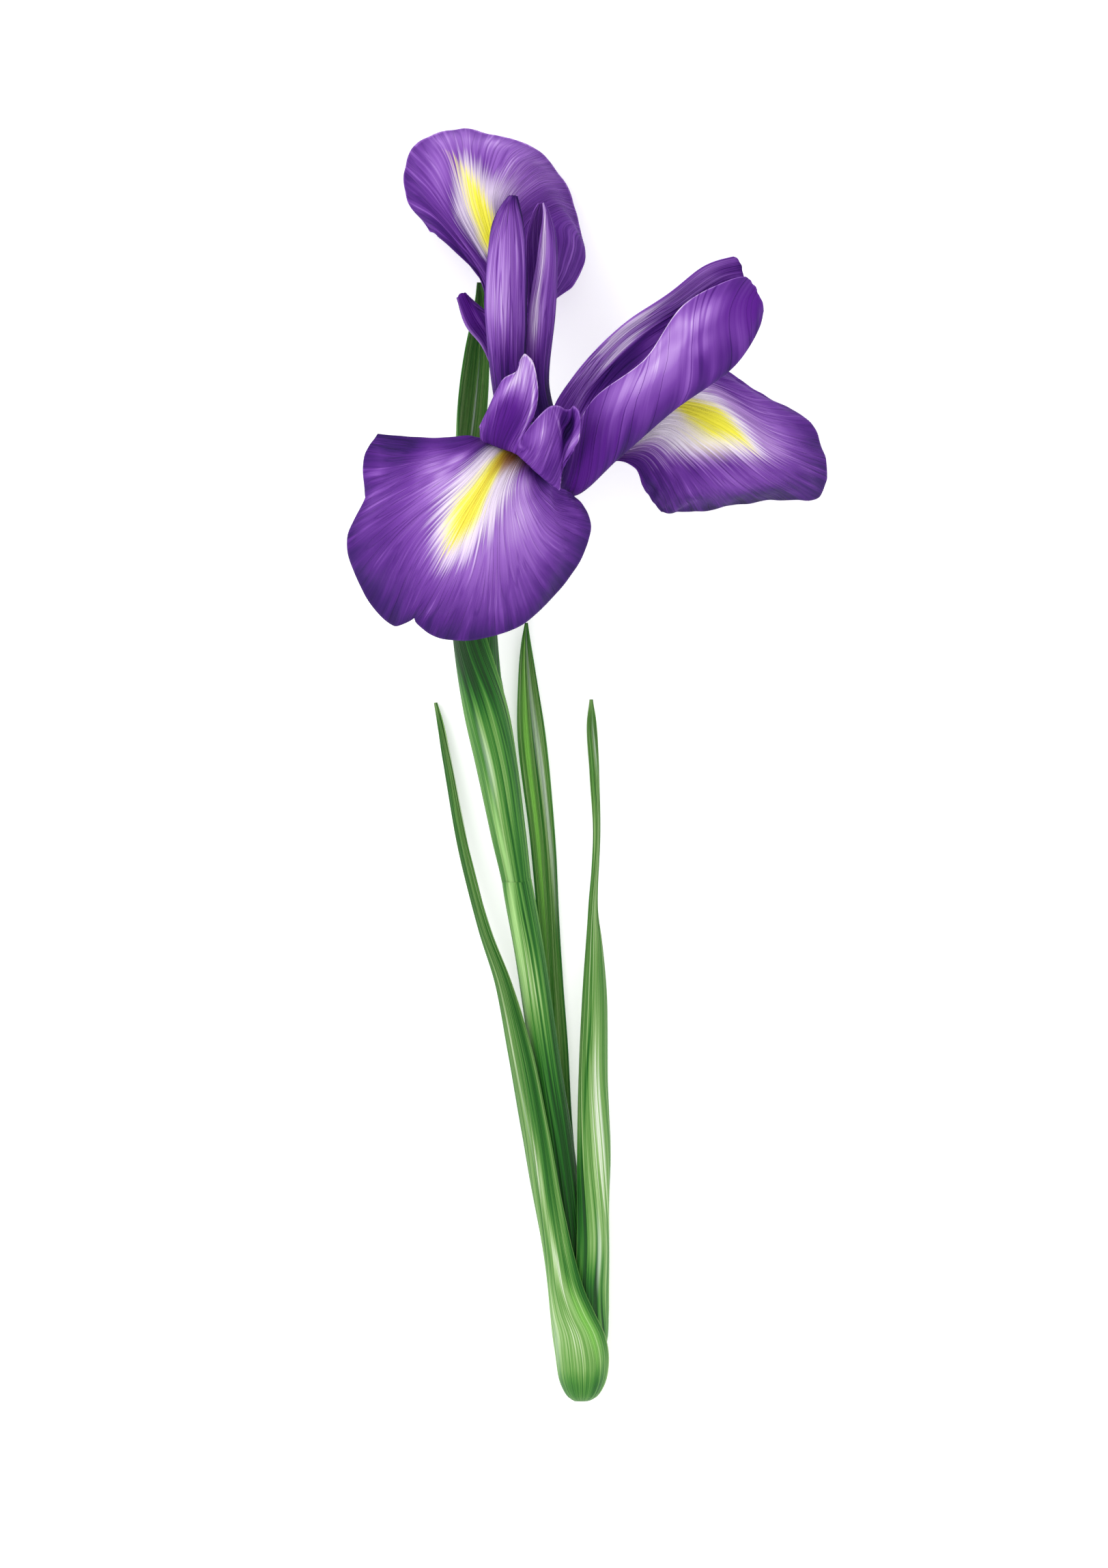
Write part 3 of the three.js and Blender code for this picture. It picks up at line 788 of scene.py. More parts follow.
# %% Lines across the falls
FALLS = {
    "fall_front": {
        "degrees": 0,
        "lines": [
            [[-16.3, 64.8, 44.5], [-13.2, 63.0, 44], [-10.2, 62.9, 44]],
            [[-19.7, 69.4, 52.5], [-14.8, 66.6, 52.5], [-10.2, 64.8, 52]],
            [[-23.6, 71.3, 58.5], [-17.1, 68.7, 60.6], [-11.2, 64.6, 57.5]],
            [[-27, 71.6, 60.6], [-27.9, 64.6, 65], [-24.2, 57.6, 66.3], [-16.4, 59.6, 65],
             [-9.3, 62.4, 57]],
            [[-35.4, 71.4, 57], [-39.2, 62.9, 58.5], [-39.6, 51.6, 57], [-31.7, 42.6, 57],
             [-19.7, 43.4, 58], [-9.9, 52.4, 56], [-6, 60.6, 51.2]],
            [[-46.2, 72.3, 50], [-48.9, 68.2, 47], [-49.1, 58.1, 46], [-52.9, 49.4, 41],
             [-50, 38.6, 38], [-42.6, 30.4, 38], [-38.7, 30.9, 42], [-31.7, 27.2, 39],
             [-19.7, 28.4, 37], [-8, 35.9, 38], [-0.6, 46.4, 40], [0.2, 54.3, 42],
             [-3.6, 59.3, 45]],
        ],
        "nicks": [(0.167, 0.015, 0.012), (0.5, 0.024, 0.008)],
        "seed": 3,
    },
    "fall_right": {
        "degrees": 120,
        "lines": [
            [[-2.6, 63.2, 31.6], [-2.9, 65, 29.8], [-3.2, 67.4, 28.6]],
            [[6.6, 66.6, 33], [9, 71.8, 30.5], [6.6, 77.9, 28.5]],
            [[10.4, 65, 32], [18.5, 77.5, 32], [13.4, 83.9, 28]],
            [[12, 61.4, 29], [21.6, 66.6, 33], [28.4, 74.1, 33], [26.9, 81.6, 31],
             [20.9, 87.6, 26]],
            [[13.8, 58.4, 25], [21.6, 59.6, 27], [32.1, 62.1, 26.5], [39.6, 65.9, 24.5],
             [40.1, 72.6, 26], [35.6, 80.1, 26], [29.1, 87.2, 22]],
            [[16.1, 55.8, 20], [19.4, 55.2, 18], [23.9, 55.7, 16], [30.6, 56.9, 13],
             [38.1, 57.9, 9], [45.6, 58.2, 4], [51.3, 59.3, 0.4], [53, 63.6, 2.5],
             [52.1, 69.2, 7], [49.4, 74.6, 12], [44.1, 78.8, 16], [38.1, 81.5, 18],
             [32.6, 84.9, 18]],
        ],
        "seed": 5,
    },
    "fall_back": {
        "degrees": -120,
        "lines": [
            [[-12.5, 72.3, 27.5], [-15.2, 71.9, 28], [-18, 71.5, 30]],
            [[-12.5, 87, 25], [-16.4, 86.9, 24], [-20.2, 87, 25.5]],
            [[-11.6, 99, 23], [-16.9, 98.9, 21.8], [-22, 98.9, 23]],
            [[-10.2, 103.6, 21], [-18.5, 107.9, 20], [-23.4, 106.1, 20.5]],
            [[-8.3, 104.9, 19], [-15.2, 119.1, 21], [-22.4, 124.4, 20.5], [-27.9, 119.1, 19.5],
             [-27.2, 110.9, 19]],
            [[-7.4, 104.1, 15.5], [-5.4, 117.6, 16.5], [-11.4, 128.1, 16.5],
             [-21.2, 134.1, 14.5], [-30.2, 133.7, 13], [-35, 125.1, 14.5], [-32.4, 115.8, 16]],
            [[-7, 102.3, 12], [-2.7, 106.2, 9.5], [-0.6, 113.1, 8], [-2, 120.6, 7.5],
             [-5.4, 128.6, 6], [-10.7, 135.3, 4], [-18.2, 138.6, 2], [-26.4, 139.9, 0.4],
             [-33.2, 139.4, 0.6], [-38.9, 136.1, 2], [-40.4, 130.4, 5], [-39.3, 123.6, 9],
             [-35, 117.3, 13]],
        ],
        "seed": 8,
    },
}
print("falls:", ", ".join(FALLS))

# %% [markdown]
# ## The look of the falls
#
# Each fall is violet, darker toward its margins, with the white halo and yellow signal
# over its throat. The front one shows a brown throat too. Its marks are coloured wedges and
# patches, laid over each other in the order of their list. The plain patches before them
# have no colour: they say where the violet is lighter or darker than the rest, and most are
# painted light and shade. A thin pale rim along the edge is painted light too. Painting an
# image for each fall would be quicker, but it would blur in a close view.

# %% Finish of the falls
YELLOW, AMBER, CREAM = "#f6ee30", "#dcae20", "#f1ea9a"
HALO, SNOW, LILAC = "#eadcf0", "#f4ebf6", "#b892d4"
THROAT = "#7c4a1e"
SOFT, CRISP = 0.07, 0.035

FALL_LOOKS = {
    "fall_front": {
        "tone": 0.46,
        # Most patches here are painted light and shade: a lit middle, darker sides turned from
        # the lamp, and light painted where the crest and standards shade the fall.
        "patches": [
            (0.34, 0.62, 0.61, 0.5, 0.29, 0), (0.16, 0.76, 0.55, 0.14, 0.24, 0),
            (0.16, 0.28, 0.6, 0.14, 0.2, 0), (0.32, 0.17, 0.59, 0.2, 0.2, -1),
            (-0.2, 0.02, 0.85, 0.16, 0.4, 0),
            (-0.16, 0.34, 1.0, 0.2, 0.3, 0), (-0.2, 0.7, 1.02, 0.4, 0.24, 0),
            (-0.22, 0.95, 0.42, 0.2, 0.2, 0), (0.1, 0.8, 0.76, 0.12, 0.12, 0),
            (0.34, 0.86, 0.46, 0.12, 0.12, 0), (0.3, 0.17, 0.49, 0.06, 0.07, 0),
            (-0.2, 0.24, 0.4, 0.06, 0.06, 0), (-0.14, 0.22, 0.61, 0.04, 0.06, 0),
        ],
        "rims": [(-0.16, 0.12), (0.1, 0.012)],
        "streak_depth": 0.08,
        "feather": 0.15,
        "marks": [
            (HALO, WEDGE, 0.9, {"Middle": 0.49, "Lean": 0.05, "Tip": 0.69, "Spread": 1.1,
                                "Widest": 0.22, "Feather": SOFT}),
            (CREAM, WEDGE, 0.6, {"Middle": 0.475, "Start": 0.32, "Rise": 0.9, "Tip": 0.65,
                                 "Spread": 0.8, "Widest": 0.1, "Feather": CRISP}),
            (YELLOW, WEDGE, 0.88, {"Middle": 0.48, "Start": 0.33, "Rise": 0.8, "Tip": 0.63,
                                   "Spread": 0.65, "Widest": 0.068, "Feather": CRISP}),
            (AMBER, WEDGE, 0.5, {"Middle": 0.485, "Start": 0.3, "Rise": 0.4, "Tip": 0.6,
                                 "Spread": 0.3, "Widest": 0.014, "Feather": CRISP}),
            (AMBER, PATCH, 0.9, {"Middle": 0.54, "Height": 0.38, "Width": 0.14,
                                 "Length": 0.07, "Feather": 0.4}),
            (THROAT, PATCH, 1.0, {"Middle": 0.61, "Height": 0.375, "Width": 0.32,
                                  "Length": 0.085, "Feather": 0.4}),
        ],
    },
    "fall_right": {
        "tone": 0.45,
        # Most patches here are painted light and shade: lit patches, darker sides turned from the
        # lamp, and light painted where the standards shade the fall.
        "patches": [
            (0.16, 0.42, 0.74, 0.34, 0.14, 0), (0.26, 0.72, 0.76, 0.26, 0.18, 0),
            (-0.12, 0.02, 0.7, 0.2, 0.6, 0), (-0.28, 0.3, 1.0, 0.4, 0.26, 0),
            (0.2, 0.2, 0.5, 0.1, 0.16, 0), (-0.12, 0.17, 0.8, 0.08, 0.08, 0),
            (-0.12, 0.4, 0.88, 0.2, 0.08, 0),
        ],
        "rims": [(-0.12, 0.1), (0.1, 0.012)],
        "feather": 0.2,
        "marks": [
            (LILAC, WEDGE, 0.8, {"Middle": 0.6, "Lean": -0.2, "Tip": 0.78, "Spread": 1.4,
                                 "Widest": 0.36, "Feather": 0.1}),
            (SNOW, WEDGE, 0.95, {"Middle": 0.535, "Lean": -0.05, "Tip": 0.705, "Spread": 1.4,
                                 "Widest": 0.28, "Feather": SOFT}),
            (CREAM, PATCH, 0.8, {"Middle": 0.48, "Height": 0.54, "Width": 0.2, "Length": 0.12,
                                 "Feather": 0.5}),
            (YELLOW, WEDGE, 0.95, {"Middle": 0.52, "Lean": 0.2, "Start": 0.41, "Rise": 1.2,
                                   "Tip": 0.67, "Spread": 1.0, "Widest": 0.1,
                                   "Feather": 0.05}),
        ],
    },
    "fall_back": {
        "tone": 0.47,
        # Most patches here are painted light and shade: lighter on the side toward the lamp,
        # darker on the far side and at the foot.
        "patches": [
            (0.3, 0.52, 0.93, 0.36, 0.18, 0), (0.34, 0.4, 0.78, 0.16, 0.14, 0),
            (0.24, 0.75, 0.83, 0.12, 0.12, 0), (-0.2, 1.0, 0.75, 0.14, 0.4, 0),
            (-0.35, 0.5, 0.3, 0.8, 0.32, 0),
        ],
        "rims": [(-0.06, 0.08), (0.3, 0.014)],
        "veins": {"Count": 36.0},
        "turned": (0.46, 0.16),
        "streak_depth": 0.14,
        "marks": [
            (HALO, WEDGE, 0.82, {"Middle": 0.612, "Lean": -0.2, "Start": 0.58, "Rise": 3.0,
                                 "Tip": 0.84, "Spread": 1.4, "Widest": 0.14, "Feather": SOFT}),
            (YELLOW, WEDGE, 0.95, {"Middle": 0.625, "Lean": -0.7, "Tip": 0.81, "Spread": 0.75,
                                   "Widest": 0.09, "Feather": 0.05}),
            (HALO, PATCH, 0.6, {"Middle": 0.43, "Height": 0.745, "Width": 0.1,
                                "Length": 0.07, "Feather": 0.8}),
            (YELLOW, PATCH, 0.95, {"Middle": 0.6, "Height": 0.645, "Width": 0.12,
                                   "Length": 0.05, "Feather": 0.3}),
        ],
    },
}

print("marks on the front fall:", len(FALL_LOOKS["fall_front"]["marks"]))

# %% [markdown]
# ## Growing the falls
#
# Each fall is a thin piece on its own seat. Its rim is thin and ruffled, as a soft petal's
# is. The underside of a fall is plain and paler, so all three share one finish there.

# %% Falls
FALL_SEAT = {"radius": 4, "width": 2.8, "rise": 1}
FALL_GRID = (110, 120)
FALL_WAVES = {"ruffle": 0.5, "pleat": 0.12}
FALL_THICKNESS = {"full": 0.7, "thin": 0.24}
UNDERSIDE_LOOK = {"tone": 0.55, "patches": [(-0.2, 0.5, 0.6, 0.1, 0.7, 0)]}


def build_fall(name, underside):
    made = FALLS[name]
    foot = seat(made["degrees"], **FALL_SEAT)
    grid, across, along = petal_sheet(made, foot, FALL_GRID, **FALL_WAVES)
    thickness = thickness_of(across, along, **FALL_THICKNESS)
    face = petal_finish(name + "_marks", FALL_LOOKS[name], made["seed"])
    piece = thin_piece(name + "_petal", grid, across, along, thickness, [face, underside])
    stand_for(piece, name)


plain = petal_finish("fall_underside", UNDERSIDE_LOOK, 31)
for name in FALLS:
    build_fall(name, plain)

# %% [markdown]
# ## The three standards
#
# The standards are the narrow inner petals that stand up. Two of them are spoons, seen
# from their outer side and from their hollow side. The third leans to the right as a
# trough. The lines of points of the upright two are level cuts, from one rim round to the
# other, so each cut shares one height up the picture. Those of the third run across it.

# %% Lines and looks of the standards
VIVID = "#560c88"


def cut(y, points):
    """One level cut of a standard: its height up the picture, then points of x and z."""
    return [[x, y, z] for x, z in points]


STANDARDS = {
    "standard_left": {
        "degrees": -60,
        "lines": [
            cut(70.4, [[-18.4, 36.2], [-17.4, 37.5], [-16.2, 38], [-15, 38], [-14.4, 37]]),
            cut(80.9, [[-20.6, 37], [-19.7, 39], [-17.6, 40.5], [-15, 39.5], [-14, 37.5]]),
            cut(98.9, [[-22.4, 38], [-21.4, 42], [-18, 44.2], [-14.6, 42], [-13.5, 38]]),
            cut(110.9, [[-22, 38], [-20.9, 41.6], [-17.8, 43.4], [-14.5, 41.6], [-13.5, 38]]),
            cut(118.4, [[-20.8, 38.2], [-19.7, 40.9], [-17.5, 42], [-15.1, 40.9], [-14.2, 38.3]]),
            cut(122.9, [[-18.7, 38.6], [-17.9, 40], [-17, 40.4], [-15.9, 40], [-15.2, 38.8]]),
            cut(124.8, [[-17.1, 39], [-16.8, 39.4], [-16.4, 39.5], [-16, 39.4], [-15.7, 39]]),
        ],
        "seed": 12,
        "outer": {
            "tone": 0.6,
            # Most of these patches are painted light and shade: a lit zone down the middle, and
            # darker edges, tip and foot away from the lamp.
            "patches": [
                (0.28, 0.38, 0.68, 0.32, 0.4, 0), (0.14, 0.2, 0.68, 0.1, 0.26, 0),
                (-0.3, 0.36, 0.78, 0.03, 0.14, 0), (-0.14, 0.76, 0.7, 0.16, 0.2, 0),
                (-0.56, 1.0, 0.6, 0.3, 0.6, 0), (-0.45, 0.5, 0.3, 0.8, 0.28, 0),
                (-0.16, 0.5, 1.02, 0.8, 0.1, 0), (0.3, 0.3, 0.99, 0.2, 0.03, 0),
            ],
            "rims": [(-0.16, 0.07)],
            "streak_depth": 0.16,
            "vein_depth": 0.14,
        },
        "inner": {"tone": 0.35},
    },
    "standard_back": {
        "degrees": 180,
        "lines": [
            cut(74.9, [[-12.2, 34.4], [-9.4, 34.2], [-7.4, 31.8], [-8.6, 30.2], [-10.4, 29.8]]),
            cut(83.9, [[-13.4, 34.8], [-10.8, 35.2], [-8.8, 32.5], [-9.8, 29.6], [-12.3, 29]]),
            cut(98.9, [[-13, 35.5], [-10.2, 37], [-7.4, 33.5], [-9.5, 29.5], [-13, 29.2]]),
            cut(109.4, [[-11.3, 36], [-9, 37], [-6.9, 33.5], [-9, 29], [-13.4, 30.2]]),
            cut(116.9, [[-10.3, 35.2], [-8.9, 35.6], [-7.4, 33], [-9.5, 29.7], [-13.2, 31.3]]),
            cut(121.4, [[-9.8, 33.6], [-9.2, 33.8], [-8.7, 32.6], [-9.9, 31], [-11.9, 31.6]]),
            cut(123.3, [[-9.9, 32.7], [-9.7, 32.7], [-9.5, 32.3], [-10, 31.9], [-10.8, 32]]),
        ],
        "seed": 15,
        "outer": {
            "tone": 0.5,
            # Painted light and shade: a highlight along the rolled fold and a darker foot.
            "patches": [
                (0.52, 0.15, 0.86, 0.22, 0.5, 0), (0.34, 0.16, 0.56, 0.2, 0.18, 0),
                (-0.3, 0.56, 0.75, 0.2, 0.5, 0), (-0.44, 0.3, 0.24, 0.6, 0.28, 0),
            ],
            "streak_depth": 0.16,
            "vein_depth": 0.12,
        },
        # The dark patch is painted shade in the hollow.
        "inner": {"tone": 0.6, "patches": [(-0.3, 0.85, 0.56, 0.4, 0.16, 0)]},
    },
    "standard_leaning": {
        "degrees": 60,
        "lines": [
            [[-5.6, 66.4, 46.5], [-4.6, 61.5, 46], [-3.2, 59.1, 42.6], [-5.3, 68.5, 39.6],
             [-7.8, 77, 41]],
            [[1.1, 79.7, 55], [3.8, 73.8, 54.5], [6.6, 67.2, 47], [0.6, 80.5, 43],
             [-3.1, 85, 46]],
            [[12.3, 88.4, 57], [15.6, 83.9, 56.5], [18.5, 77.6, 49], [10.2, 91.2, 45],
             [6.6, 95.4, 48]],
            [[20.9, 100.4, 55.5], [26.1, 94.4, 56], [31.9, 87.4, 49], [22, 99, 45.5],
             [17.6, 102.9, 50]],
            [[31.4, 106.1, 52], [33.8, 101.1, 52.5], [37.6, 95.9, 47], [31.5, 104.5, 44.5],
             [26.1, 109.4, 48]],
            [[35.2, 106.8, 48.8], [37.4, 103.4, 49.5], [38.5, 99.6, 46.5], [34.9, 105.2, 44.5],
             [34.1, 111.8, 46]],
        ],
        "nicks": [(1.0, 0.016, 0.05), (0.0, 0.01, 0.03)],
        "seed": 17,
        "outer": {
            "tone": 0.54,
            # Most of these patches are painted light and shade: a lit stretch of the near wall, a
            # darker foot and tip, and small lit and shaded streaks.
            "patches": [
                (0.36, 0.12, 0.58, 0.24, 0.34, 0), (-0.36, 0.5, 0.6, 0.2, 0.8, 0),
                (-0.42, 0.3, 0.18, 0.8, 0.3, 0), (-0.26, 0.3, 1.02, 0.8, 0.2, 0),
                (0.2, 0.14, 0.8, 0.12, 0.14, 0), (-0.1, 0.36, 0.3, 0.12, 0.24, 0),
                (-0.08, 0.35, 0.75, 0.08, 0.12, 0), (0.14, 0.27, 0.74, 0.07, 0.07, 0),
                (0.14, 0.03, 0.66, 0.06, 0.1, 0), (-0.1, 0.12, 0.71, 0.06, 0.05, 0),
            ],
            # The pale rim is painted light along the edge.
            "rims": [(0.34, 0.012)],
            "veins": {"Count": 6.0, "Run": 0.9, "Slant": 2.0, "Line": 0.018},
            "streak_depth": 0.06,
            "vein_depth": 0.2,
            "marks": [
                (VIVID, PATCH, 0.7, {"Middle": 0.3, "Height": 0.96, "Width": 0.26,
                                     "Length": 0.2}),
                (VIVID, PATCH, 0.7, {"Middle": 0.34, "Height": 0.24, "Width": 0.24,
                                     "Length": 0.24}),
            ],
        },
        "inner": {
            "tone": 0.74,
            # Painted light and shade inside the trough: a dark hollow under the near rim, a lit
            # band along the far rim and lit streaks.
            "patches": [(-0.5, 0.75, 0.52, 0.12, 0.42, 0), (0.28, 0.95, 0.62, 0.1, 0.3, 0),
                        (-0.3, 0.8, 0.2, 0.4, 0.2, 0), (-0.3, 0.8, 0.86, 0.09, 0.2, 0),
                        (-0.28, 0.9, 1.0, 0.16, 0.1, 0), (0.56, 0.82, 0.54, 0.06, 0.22, 0),
                        (0.26, 0.72, 0.64, 0.06, 0.1, 0)],
            "rims": [(-0.14, 0.02)],
            "vein_depth": 0.14,
        },
    },
}


print("standards:", ", ".join(STANDARDS))

# %% [markdown]
# ## Growing the standards
#
# The standards grow as the falls do, on seats between them. A standard that rolls its rims
# inward can show both of its faces at once, so each face has its own look.

# %% Standards
STANDARD_SEAT = {"radius": 2.9, "width": 2.6, "rise": 2.6}
STANDARD_GRID = (100, 64)
STANDARD_VEINS = {"Count": 18.0, "Run": 2.2}
STANDARD_WAVES = {"ruffle": 0.15, "pleat": 0.06}
STANDARD_THICKNESS = {"full": 0.7, "thin": 0.3}


def build_standard(name):
    made = STANDARDS[name]
    foot = seat(made["degrees"], **STANDARD_SEAT)
    grid, across, along = petal_sheet(made, foot, STANDARD_GRID, **STANDARD_WAVES)
    thickness = thickness_of(across, along, **STANDARD_THICKNESS)
    faces = []
    for side in ("inner", "outer"):
        look = {"veins": STANDARD_VEINS, **made[side]}
        faces.append(petal_finish(f"{name}_{side}", look, made["seed"]))
    piece = thin_piece(name + "_petal", grid, across, along, thickness, faces)
    stand_for(piece, name)


for name in STANDARDS:
    build_standard(name)

# %% [markdown]
# ## The three style arms
#
# A style arm looks like a small petal. It arches over the haft of a fall, hides a stamen
# and ends in two crests that curl up. The front arm shows both of its crests, and the
# back arm only a small hook. The third arm is hidden here, but every iris has three. Soft
# dents shape the front crests.

# %% Lines and looks of the style arms
STYLE_ARMS = {
    "style_arm_front": {
        "degrees": 0,
        "rise": 5.5,
        "lines": [
            [[-14.2, 67.4, 45], [-12, 66.9, 45], [-9.9, 65.9, 45.5]],
            [[-18.5, 71.5, 55], [-13.4, 70.2, 55], [-8.8, 67, 55]],
            [[-23.3, 70.9, 62.3], [-19.5, 69.7, 64.4], [-15.8, 68.2, 65.2], [-10.5, 63.6, 63.2],
             [-6.2, 59.9, 59.5]],
            [[-23.5, 73, 62.2], [-20.5, 76.5, 64.5], [-17, 79, 65.2], [-14.2, 76, 65.4],
             [-15.2, 69.6, 65.9], [-11, 69.5, 65], [-7.5, 70.8, 62.2], [-4.8, 69, 60.8],
             [-5.9, 63, 60.4]],
            [[-23.7, 73.6, 62], [-21.7, 77.8, 62.4], [-20.2, 81, 62.6], [-18.2, 84.3, 62.8],
             [-15.5, 86, 62.8], [-14.8, 88.3, 62.2], [-13.7, 89.9, 61.6], [-12.4, 88.8, 61.8],
             [-11.3, 85, 62.3], [-10.9, 80, 63.2], [-11.9, 75.6, 64.6], [-14.5, 71.4, 66],
             [-12.2, 74.4, 65.3], [-9.9, 76.9, 64.6], [-8, 78.5, 63.6], [-6.2, 78.4, 62.4],
             [-4.6, 77.6, 60.6], [-3.3, 78.4, 61.6], [-1.8, 77.2, 62.6], [-1.4, 73.6, 62.8],
             [-1.8, 70.8, 62.6], [-5.4, 65.6, 61]],
        ],
        "grid": (80, 120),
        "seed": 21,
        "upper_face": 1,
        "dents": [(2.4, 0.82, 0.91, 0.08, 0.12, -0.45), (-0.8, 0.94, 0.93, 0.07, 0.12, 0)],
        "look": {
            "tone": 0.54,
            # Most of these patches are painted light and shade: highlights on the crests and
            # shade in the hollow of the dent; the pale rim is painted light along the edge.
            "patches": [
                (0.3, 0.29, 0.98, 0.2, 0.18, 0), (0.22, 0.22, 0.92, 0.2, 0.1, 0),
                (0.34, 0.43, 0.92, 0.06, 0.13, -1.0), (-0.4, 0.24, 0.74, 0.3, 0.17, 0),
                (-0.5, 0.82, 0.91, 0.07, 0.13, -0.45), (0.26, 0.76, 0.9, 0.02, 0.1, -1.0),
                (0.2, 0.63, 0.9, 0.08, 0.12, 0), (0.3, 0.93, 0.94, 0.04, 0.12, 0),
                (-0.16, 0.85, 0.74, 0.2, 0.08, 0), (-0.1, 0.5, 0.5, 0.6, 0.24, 0),
            ],
            "rims": [(0.3, 0.016)],
            "veins": {"Count": 26.0, "Run": 3.0},
            "marks": [(VIVID, PATCH, 0.5, {"Middle": 0.26, "Height": 0.78, "Width": 0.3,
                                           "Length": 0.16})],
        },
    },
    "style_arm_right": {
        "degrees": 120,
        "rise": 2.8,
        "lines": [
            [[-3.2, 66.6, 35.8], [-3.6, 68.4, 35], [-4.2, 70.4, 33.8]],
            [[6, 70.5, 37], [6, 75, 36.5], [4.4, 79.6, 34.5]],
            [[12.4, 72.4, 37.5], [14, 76.2, 38], [13.5, 79.4, 38], [11.5, 82, 37.5],
             [8.8, 84.4, 35.5]],
            [[15.5, 75, 38.5], [16.8, 79.5, 39], [14.6, 81.4, 39], [15.2, 84.6, 38.8],
             [12.5, 88, 37]],
        ],
        "grid": (70, 56),
        "seed": 23,
        "upper_face": 0,
        "look": {
            "tone": 0.6,
            "patches": [(-0.2, 0.5, 0.3, 0.6, 0.3, 0)],
            "rims": [(0.2, 0.02)],
        },
    },
    "style_arm_back": {
        "degrees": -120,
        "rise": 5.8,
        "lines": [
            [[-12.6, 72.4, 32.4], [-14.6, 72, 32.4], [-16.8, 71.4, 33]],
            [[-14.6, 84.2, 30.6], [-17, 84, 30], [-20, 83.4, 30.6]],
            [[-14.6, 92.6, 30.4], [-16.4, 94.6, 30.8], [-18.8, 95.4, 31], [-20.9, 94.8, 30.8],
             [-23.3, 91.8, 30]],
            [[-14.8, 97.6, 31.6], [-16.2, 99, 32], [-18.8, 96.8, 31.8], [-23, 98.9, 32],
             [-26.8, 96.2, 31.5]],
            [[-15.6, 101.2, 32.4], [-17.2, 100.8, 32.6], [-19, 97.8, 32.2], [-24.4, 100.1, 32.6],
             [-26.2, 102.6, 33], [-27.4, 103.7, 33], [-28.9, 102.6, 33]],
        ],
        "grid": (70, 64),
        "seed": 25,
        "upper_face": 0,
        "look": {
            "tone": 0.3,
            # The pale patches are painted highlights on the rim of the hook.
            "patches": [(0.5, 1.0, 0.86, 0.08, 0.3, 0), (0.34, 0.72, 0.88, 0.05, 0.12, 0),
                        (0.4, 0.84, 0.88, 0.03, 0.1, 0)],
            "rims": [(0.1, 0.03)],
            "veins": {"Count": 14.0, "Run": 2.5},
            "marks": [(VIVID, PATCH, 0.6, {"Middle": 0.86, "Height": 0.95, "Width": 0.14,
                                           "Length": 0.2})],
        },
    },
}


print("style arms:", ", ".join(STYLE_ARMS))

# %% [markdown]
# ## Growing the style arms
#
# They are made as the petals are, and are a little thicker at the rim. A style arm is seen
# from above only, so its lower face is plain. Which face is the upper one depends on the
# way its lines of points run.

# %% Style arms
STYLE_SEAT = {"radius": 1.5, "width": 1.9}
STYLE_WAVES = {"ruffle": 0.12, "pleat": 0.05}
STYLE_THICKNESS = {"full": 0.7, "thin": 0.35}
UNDER_LOOK = {"tone": 0.45}


def build_style_arm(name):
    made = STYLE_ARMS[name]
    foot = seat(made["degrees"], rise=made["rise"], **STYLE_SEAT)
    grid, across, along = petal_sheet(made, foot, made["grid"], **STYLE_WAVES)
    thickness = thickness_of(across, along, **STYLE_THICKNESS)
    under = petal_finish(name + "_under", UNDER_LOOK, made["seed"])
    upper = petal_finish(name + "_upper", made["look"], made["seed"])
    faces = [under, upper] if made["upper_face"] == 1 else [upper, under]
    piece = thin_piece(name + "_crest", grid, across, along, thickness, faces)
    stand_for(piece, name)


for name in STYLE_ARMS:
    build_style_arm(name)

# %% [markdown]
# ## Round pieces
#
# The stem, the ovary and the stamens are round: a ring of points is carried along a route
# and changes size on the way. A bevelled curve could do it, but only here do the ovary's
# three ridges, and the petal chart of how far round and how far along a point lies, come
# for free. The chart starts underneath, so that its seam never shows.

# %% Round piece
SEAM = -90


def round_points(stations, side, ridge, rows, sides):
    """Rings of points along stations: x, y, z, half width and half depth."""
    stations = np.asarray(stations, float)
    places = np.linspace(0, 1, rows + 1)
    centre = curve_through(stations[:, :3], places)
    size = curve_through(np.c_[stations[:, 3:], np.zeros(len(stations))], places)
    tangent = np.gradient(centre, axis=0)
    tangent /= np.linalg.norm(tangent, axis=1, keepdims=True)
    wide = side - tangent * (tangent @ side)[:, None]
    wide /= np.linalg.norm(wide, axis=1, keepdims=True)
    deep = np.cross(wide, tangent)
    angle = np.radians(SEAM) + np.arange(sides) / sides * 2 * np.pi
    swell = 1 + ridge * np.cos(3 * angle)
    return (centre[:, None]
            + wide[:, None] * (size[:, :1] * np.cos(angle) * swell)[..., None]
            + deep[:, None] * (size[:, 1:2] * np.sin(angle) * swell)[..., None])


def round_chart(rows, sides):
    """How far round and along each corner of each face lies: walls, then the two ends."""
    around, up = np.meshgrid(np.arange(sides) / sides, np.linspace(0, 1, rows + 1)[:-1])
    right, top = around + 1 / sides, up + 1 / rows
    corners = [(around, up), (around, top), (right, top), (right, up)]
    walls = np.stack([np.stack(corner, axis=2) for corner in corners], axis=2)
    end = np.stack([np.arange(sides) / sides, np.zeros(sides)], axis=1)
    return np.concatenate([walls.reshape(-1, 2), end, end + [0, 1]])


